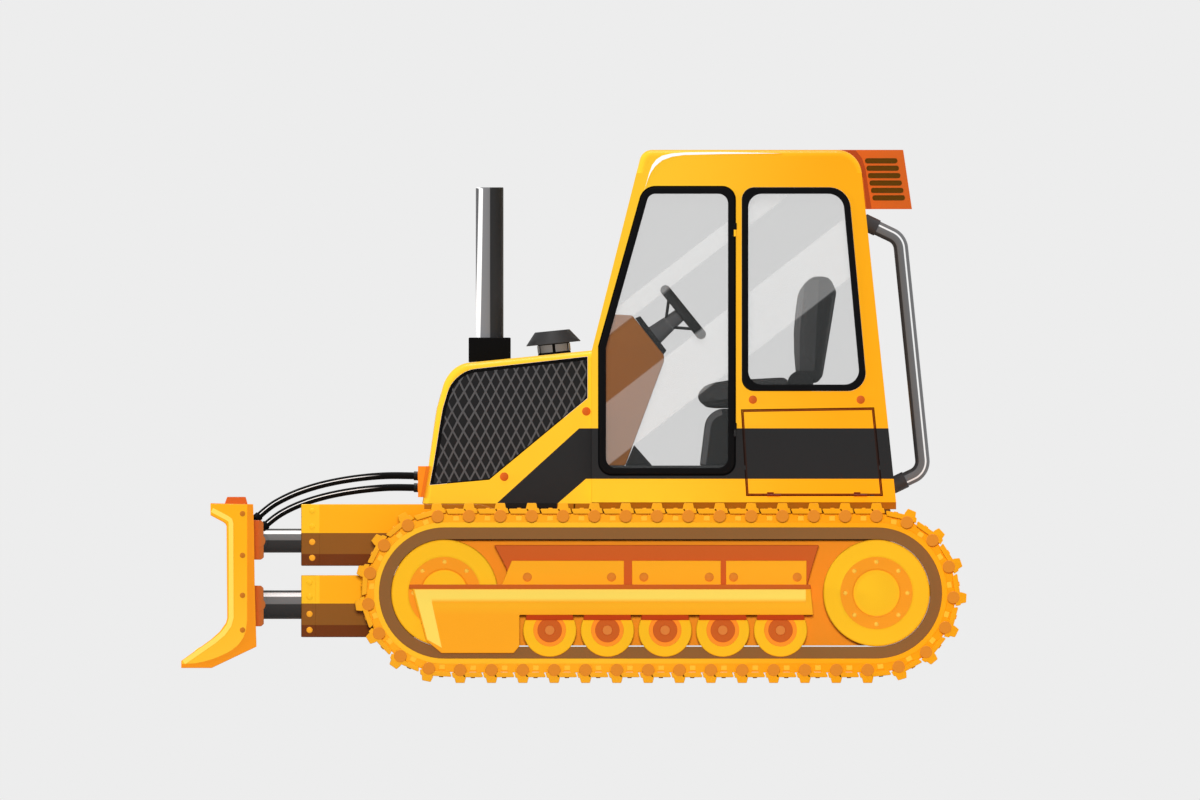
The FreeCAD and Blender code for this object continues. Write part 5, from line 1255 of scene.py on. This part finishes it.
seals = Shape()
window = rounded(WINDOW_OUTLINE)
opening = inner_line(WINDOW_OUTLINE, 40.0, (80.0, 80.0, 95.0, 85.0))
seals.ring(grown(window, -0.3), opening, 640, 706, edge=9.0, segments=3, limit=40.0, places=BOTH)
piece("window_seals_soft", seals, RUBBER, ("window_seals",))

flap = [(x, z) for x, z, r in FLAP_OUTLINE]
rebates = Shape()
door_line = rounded(DOOR_OUTLINE)
rebates.ring(grown(door_line, 16.0), grown(door_line, -6.0), 630, 641, edge=2.0, limit=40.0, places=BOTH)
rebates.ring(grown(flap, 16.0), grown(flap, -6.0), 626, 638, edge=2.0, tint=1, limit=40.0, places=BOTH)
piece("door_rebates", rebates, [RUBBER, SEAM_BROWN], body="chassis")
for side, place in SIDES:
    seam = Shape()
    seam.ring(grown(flap, -0.5), grown(flap, -8.0), CAB_Y - 2, CAB_Y + 1, edge=1.0, limit=40.0, places=[place])
    piece("flap_seam_" + side, seam, SEAM_BROWN, body="flap_" + side)

cab_bolts = Shape()
for bolt_x in (-1074.0, -1721.0):
    cab_bolts.bolt(bolt_x, 1700.0, CAB_Y, 25.0, 9.0)
piece("cab_bolts", cab_bolts, BOLT_RED, body="chassis")

# Painted highlight: a white crescent along the roof's front corner and top edge, on both sides.
streak = Shape()
ROOF_HIGHLIGHT_OUTLINE = ((-424, 2955), (-444, 3020), (-462, 3062), (-488, 3100), (-530, 3136), (-590, 3158), (-660, 3168),
          (-900, 3174), (-1250, 3178), (-900, 3186), (-680, 3184), (-590, 3178), (-530, 3164), (-494, 3140),
          (-470, 3108), (-452, 3060))
streak.plate(ROOF_HIGHLIGHT_OUTLINE, CAB_Y - 12, CAB_Y + 1.5, edge=0.5, places=BOTH)
piece("roof_painted_highlight", streak, HIGHLIGHT_WHITE, body="chassis")

cooler = Shape()
dress("ac_unit", AC_ORANGE)
for k in range(6):
    z = 3133.0 + k * (2911.0 - 3133.0) / 5
    x = -1844.0 + k * (-1889.0 + 1844.0) / 5
    slot_line = arc(x + 82, z, 16.0, 90.0, -90.0, 10) + arc(x - 82, z, 16.0, -90.0, -270.0, 10)
    cooler.ring(slot_line, grown(slot_line, -5.0), 408, 422, edge=1.5, limit=40.0, places=BOTH)
    cooler.plate(grown(slot_line, -3.0), 410, 416, edge=0, places=BOTH)
# Painted shade: a dark crescent on the cooler's side, between the cab's curved corner and the cooler.
COOLER_SHADE = ((-1560, 3197), (-1690, 3197), (-1728, 3150), (-1750, 3085), (-1762, 3000), (-1786, 2846),
                (-1756, 2846), (-1737, 3030), (-1700, 3070), (-1680, 3120), (-1640, 3170))
cooler.plate(COOLER_SHADE, 415, 421.5, edge=0.5, tint=1, limit=40.0, places=BOTH)
piece("cooler_slots", cooler, [SLOT_BROWN, AC_SHADE], body="chassis")


# Guard tubes behind the cab
def tube_mesh(points, radius, bend, steps=8):
    """A round tube along (x, y, z) points in millimetres, its corners bent, as a mesh."""
    curve = bpy.data.curves.new("tube", "CURVE")
    curve.dimensions = "3D"
    curve.bevel_depth = radius * MM
    curve.bevel_resolution = 10
    curve.use_fill_caps = True
    flat = [(p[0], p[2], bend if 0 < i < len(points) - 1 else 0.0) for i, p in enumerate(points)]
    line = rounded(flat, step=8.0)
    spline = curve.splines.new("POLY")
    spline.points.add(len(line) - 1)
    for point, (x, z) in zip(spline.points, line):
        point.co = (x * MM, points[0][1] * MM, z * MM, 1.0)
    holder = bpy.data.objects.new("tube", curve)
    mesh = bpy.data.meshes.new_from_object(holder)
    bpy.data.objects.remove(holder)
    return mesh


TUBE_PATH = ((-1735.0, 560.0, 2770.2), (-1957.0, 560.0, 2664.0), (-2098.0, 560.0, 1273.0),
             (-1905.0, 560.0, 1181.0))
tubes = Shape()
tube_part = bmesh.new()
tube_part.from_mesh(tube_mesh(TUBE_PATH, 43.5, 95.0))
bmesh.ops.scale(tube_part, vec=(1000.0,) * 3, verts=tube_part.verts)
tubes.add(tube_part, places=BOTH)
for a, b in ((TUBE_PATH[0], TUBE_PATH[1]), (TUBE_PATH[3], TUBE_PATH[2])):
    start = Vector(a)
    along = (Vector(b) - start).normalized()
    tubes.bar(start + along * 2, start + along * 96, 50.0, edge=4.0, tint=1, places=BOTH)
tube_line = [(x * MM, 0.56, z * MM) for x, z in rounded([(p[0], p[2], b) for p, b in
                                                         zip(TUBE_PATH, (0, 95.0, 95.0, 0))])]
mark_along(piece("guard_tubes_bent", tubes, [TUBE, SLEEVE], ("guard_tubes",)), tube_line[::-1])

# Hose ends
ends = Shape().copy_of("hose_manifolds", 3.0)
piece("hose_manifolds_soft", ends, MANIFOLD, ("hose_manifolds",))
piece("hose_fittings_soft", Shape().copy_of("hose_fittings", 3.0), BLACK, ("hose_fittings",))


# Inside the cab
def swell(made, limit, voxel=6.0):
    """Fills a pad as stuffing does: remeshed, blown up as cloth, and held to a limit in millimetres."""
    modifier = made.modifiers.new("remesh", "REMESH")
    modifier.mode = "VOXEL"
    modifier.voxel_size = voxel * MM
    depsgraph = bpy.context.evaluated_depsgraph_get()
    mesh = bpy.data.meshes.new_from_object(made.evaluated_get(depsgraph))
    made.modifiers.clear()
    made.data = mesh
    start = [v.co.copy() for v in mesh.vertices]
    cloth = made.modifiers.new("cloth", "CLOTH")
    cloth.settings.use_pressure = True
    cloth.settings.uniform_pressure_force = 4.0
    cloth.settings.effector_weights.gravity = 0.0
    for number in range(1, 21):
        bpy.context.scene.frame_set(number)
    depsgraph = bpy.context.evaluated_depsgraph_get()
    swollen = made.evaluated_get(depsgraph).data
    for vert, before, after in zip(mesh.vertices, start, swollen.vertices):
        move = after.co - before
        if move.length > limit * MM:
            move = move.normalized() * (limit * MM)
        vert.co = before + move
    made.modifiers.clear()
    bpy.context.scene.frame_set(1)
    mesh.shade_smooth()
    return made


def make_pad(name, outline, half, node, cover, limit):
    pad = Shape()
    pad.plate(grown(outline, -6.0), -half + 8, half - 8, edge=34.0, segments=5, limit=60.0)
    made = piece(name, pad, cover, (node,), even=False)
    swell(made, limit)
    if not made.data.materials:
        made.data.materials.append(cover)
    return made


CUSHION = ((-733, 1726, 0), (-735, 1701, 0), (-750, 1676, 0), (-786, 1656, 0), (-850, 1650, 0),
           (-1297, 1651, 10), (-1297, 1834, 25), (-923, 1814, 0), (-833, 1799, 0), (-778, 1779, 0),
           (-742, 1751, 0))
SEAT_BACK = ((-1344, 1788), (-1332, 1870), (-1323, 1980), (-1321, 2100), (-1330, 2215), (-1345, 2325),
             (-1359, 2368), (-1382, 2404), (-1412, 2429), (-1450, 2445), (-1498, 2452), (-1531, 2444),
             (-1556, 2420), (-1570, 2385), (-1573, 2340), (-1541, 2142), (-1482, 1788))
make_pad("seat_cushion_padded", rounded(CUSHION), 250.0, "seat_cushion", CUSHION_COVER, 8.0)
make_pad("seat_back_padded", list(SEAT_BACK), 250.0, "seat_back", BACK_COVER, 8.0)
seat_base = Shape()
base_outline = rounded(((-755, 1305, 0), (-797, 1646, 120), (-1285, 1646, 20), (-1300, 1305, 0)))
base_half = 210.0
seat_base.plate(base_outline, -base_half, base_half, edge=10.0, limit=40.0)
front = [point for point in grown(base_outline, -21.0) if point[0] > -900.0 and point[1] > 1325.0]
front = [(-775.0, 1312.0)] + sorted(front, key=lambda p: p[1])
seat_base.plate(strip_outline(front, 17.0), -base_half - 2.0, base_half + 2.0, edge=2.0, tint=1, limit=40.0)
piece("seat_base_moulded", seat_base, [BLACK_PLASTIC, GREY_PLASTIC], ("seat_base",))
hinges = Shape()
hinges.spun(((0, 0), (74, 0), (78, 4), (78, 24), (73, 29), (54, 29.5), (50, 26), (28, 26), (23, 29.5),
             (0, 29.5)), across(-1359.0, 1795.0, 250.5), places=BOTH)
piece("seat_hinges_turned", hinges, BLACK_PLASTIC, ("seat_hinges",))
console = Shape()
console.plate(((-168, 1305), (-168, 1990), (-236, 2212), (-350, 2206), (-541, 1967), (-541, 1929),
               (-309, 1305)), -200, 200, edge=8.0)
console.plate(((-368, 2188), (-398, 2202), (-556, 1996), (-533, 1963)), -112, 112, edge=4.0, tint=1)
foot = STEER_HUB - STEER_AXIS * 220.0
console.bar(foot - STEER_AXIS * 6.0, foot + STEER_AXIS * 109.4, 60.0, 47.5, edge=0.4, tint=2, sides=56)
piece("console_moulded", console, [BROWN_PLASTIC, BLACK_PLASTIC, COLUMN_GREY], ("console",))
piece("footrests_soft", Shape().copy_of("footrests", 5.0), BLACK_PLASTIC, ("footrests",))

wheel = Shape()
wheel_place = Matrix.Translation(STEER_HUB) @ STEER_AXIS.to_track_quat("Z", "Y").to_matrix().to_4x4()
rim = [(169 + 31 * math.cos(math.radians(a)), 31 * math.sin(math.radians(a))) for a in range(0, 361, 20)]
wheel.spun(rim, wheel_place, steps=72)
wheel.spun(((0, 14), (26, 12), (38, 4), (41, -6), (41, -30)), wheel_place, steps=40)
wheel.spun(((41, -30), (47, -110), (0, -110)), wheel_place, steps=40, tint=1)
for turn in (62, 118, 242, 298):
    angle = math.radians(turn)
    out = Vector((math.cos(angle), math.sin(angle), 0))
    wheel.bar(wheel_place @ (out * 40 + Vector((0, 0, -102))), wheel_place @ (out * 150), 9.0, edge=0, sides=20)
piece("steering_wheel_turned", wheel, [RIM_PLASTIC, COLUMN_GREY], ("steering_wheel",))
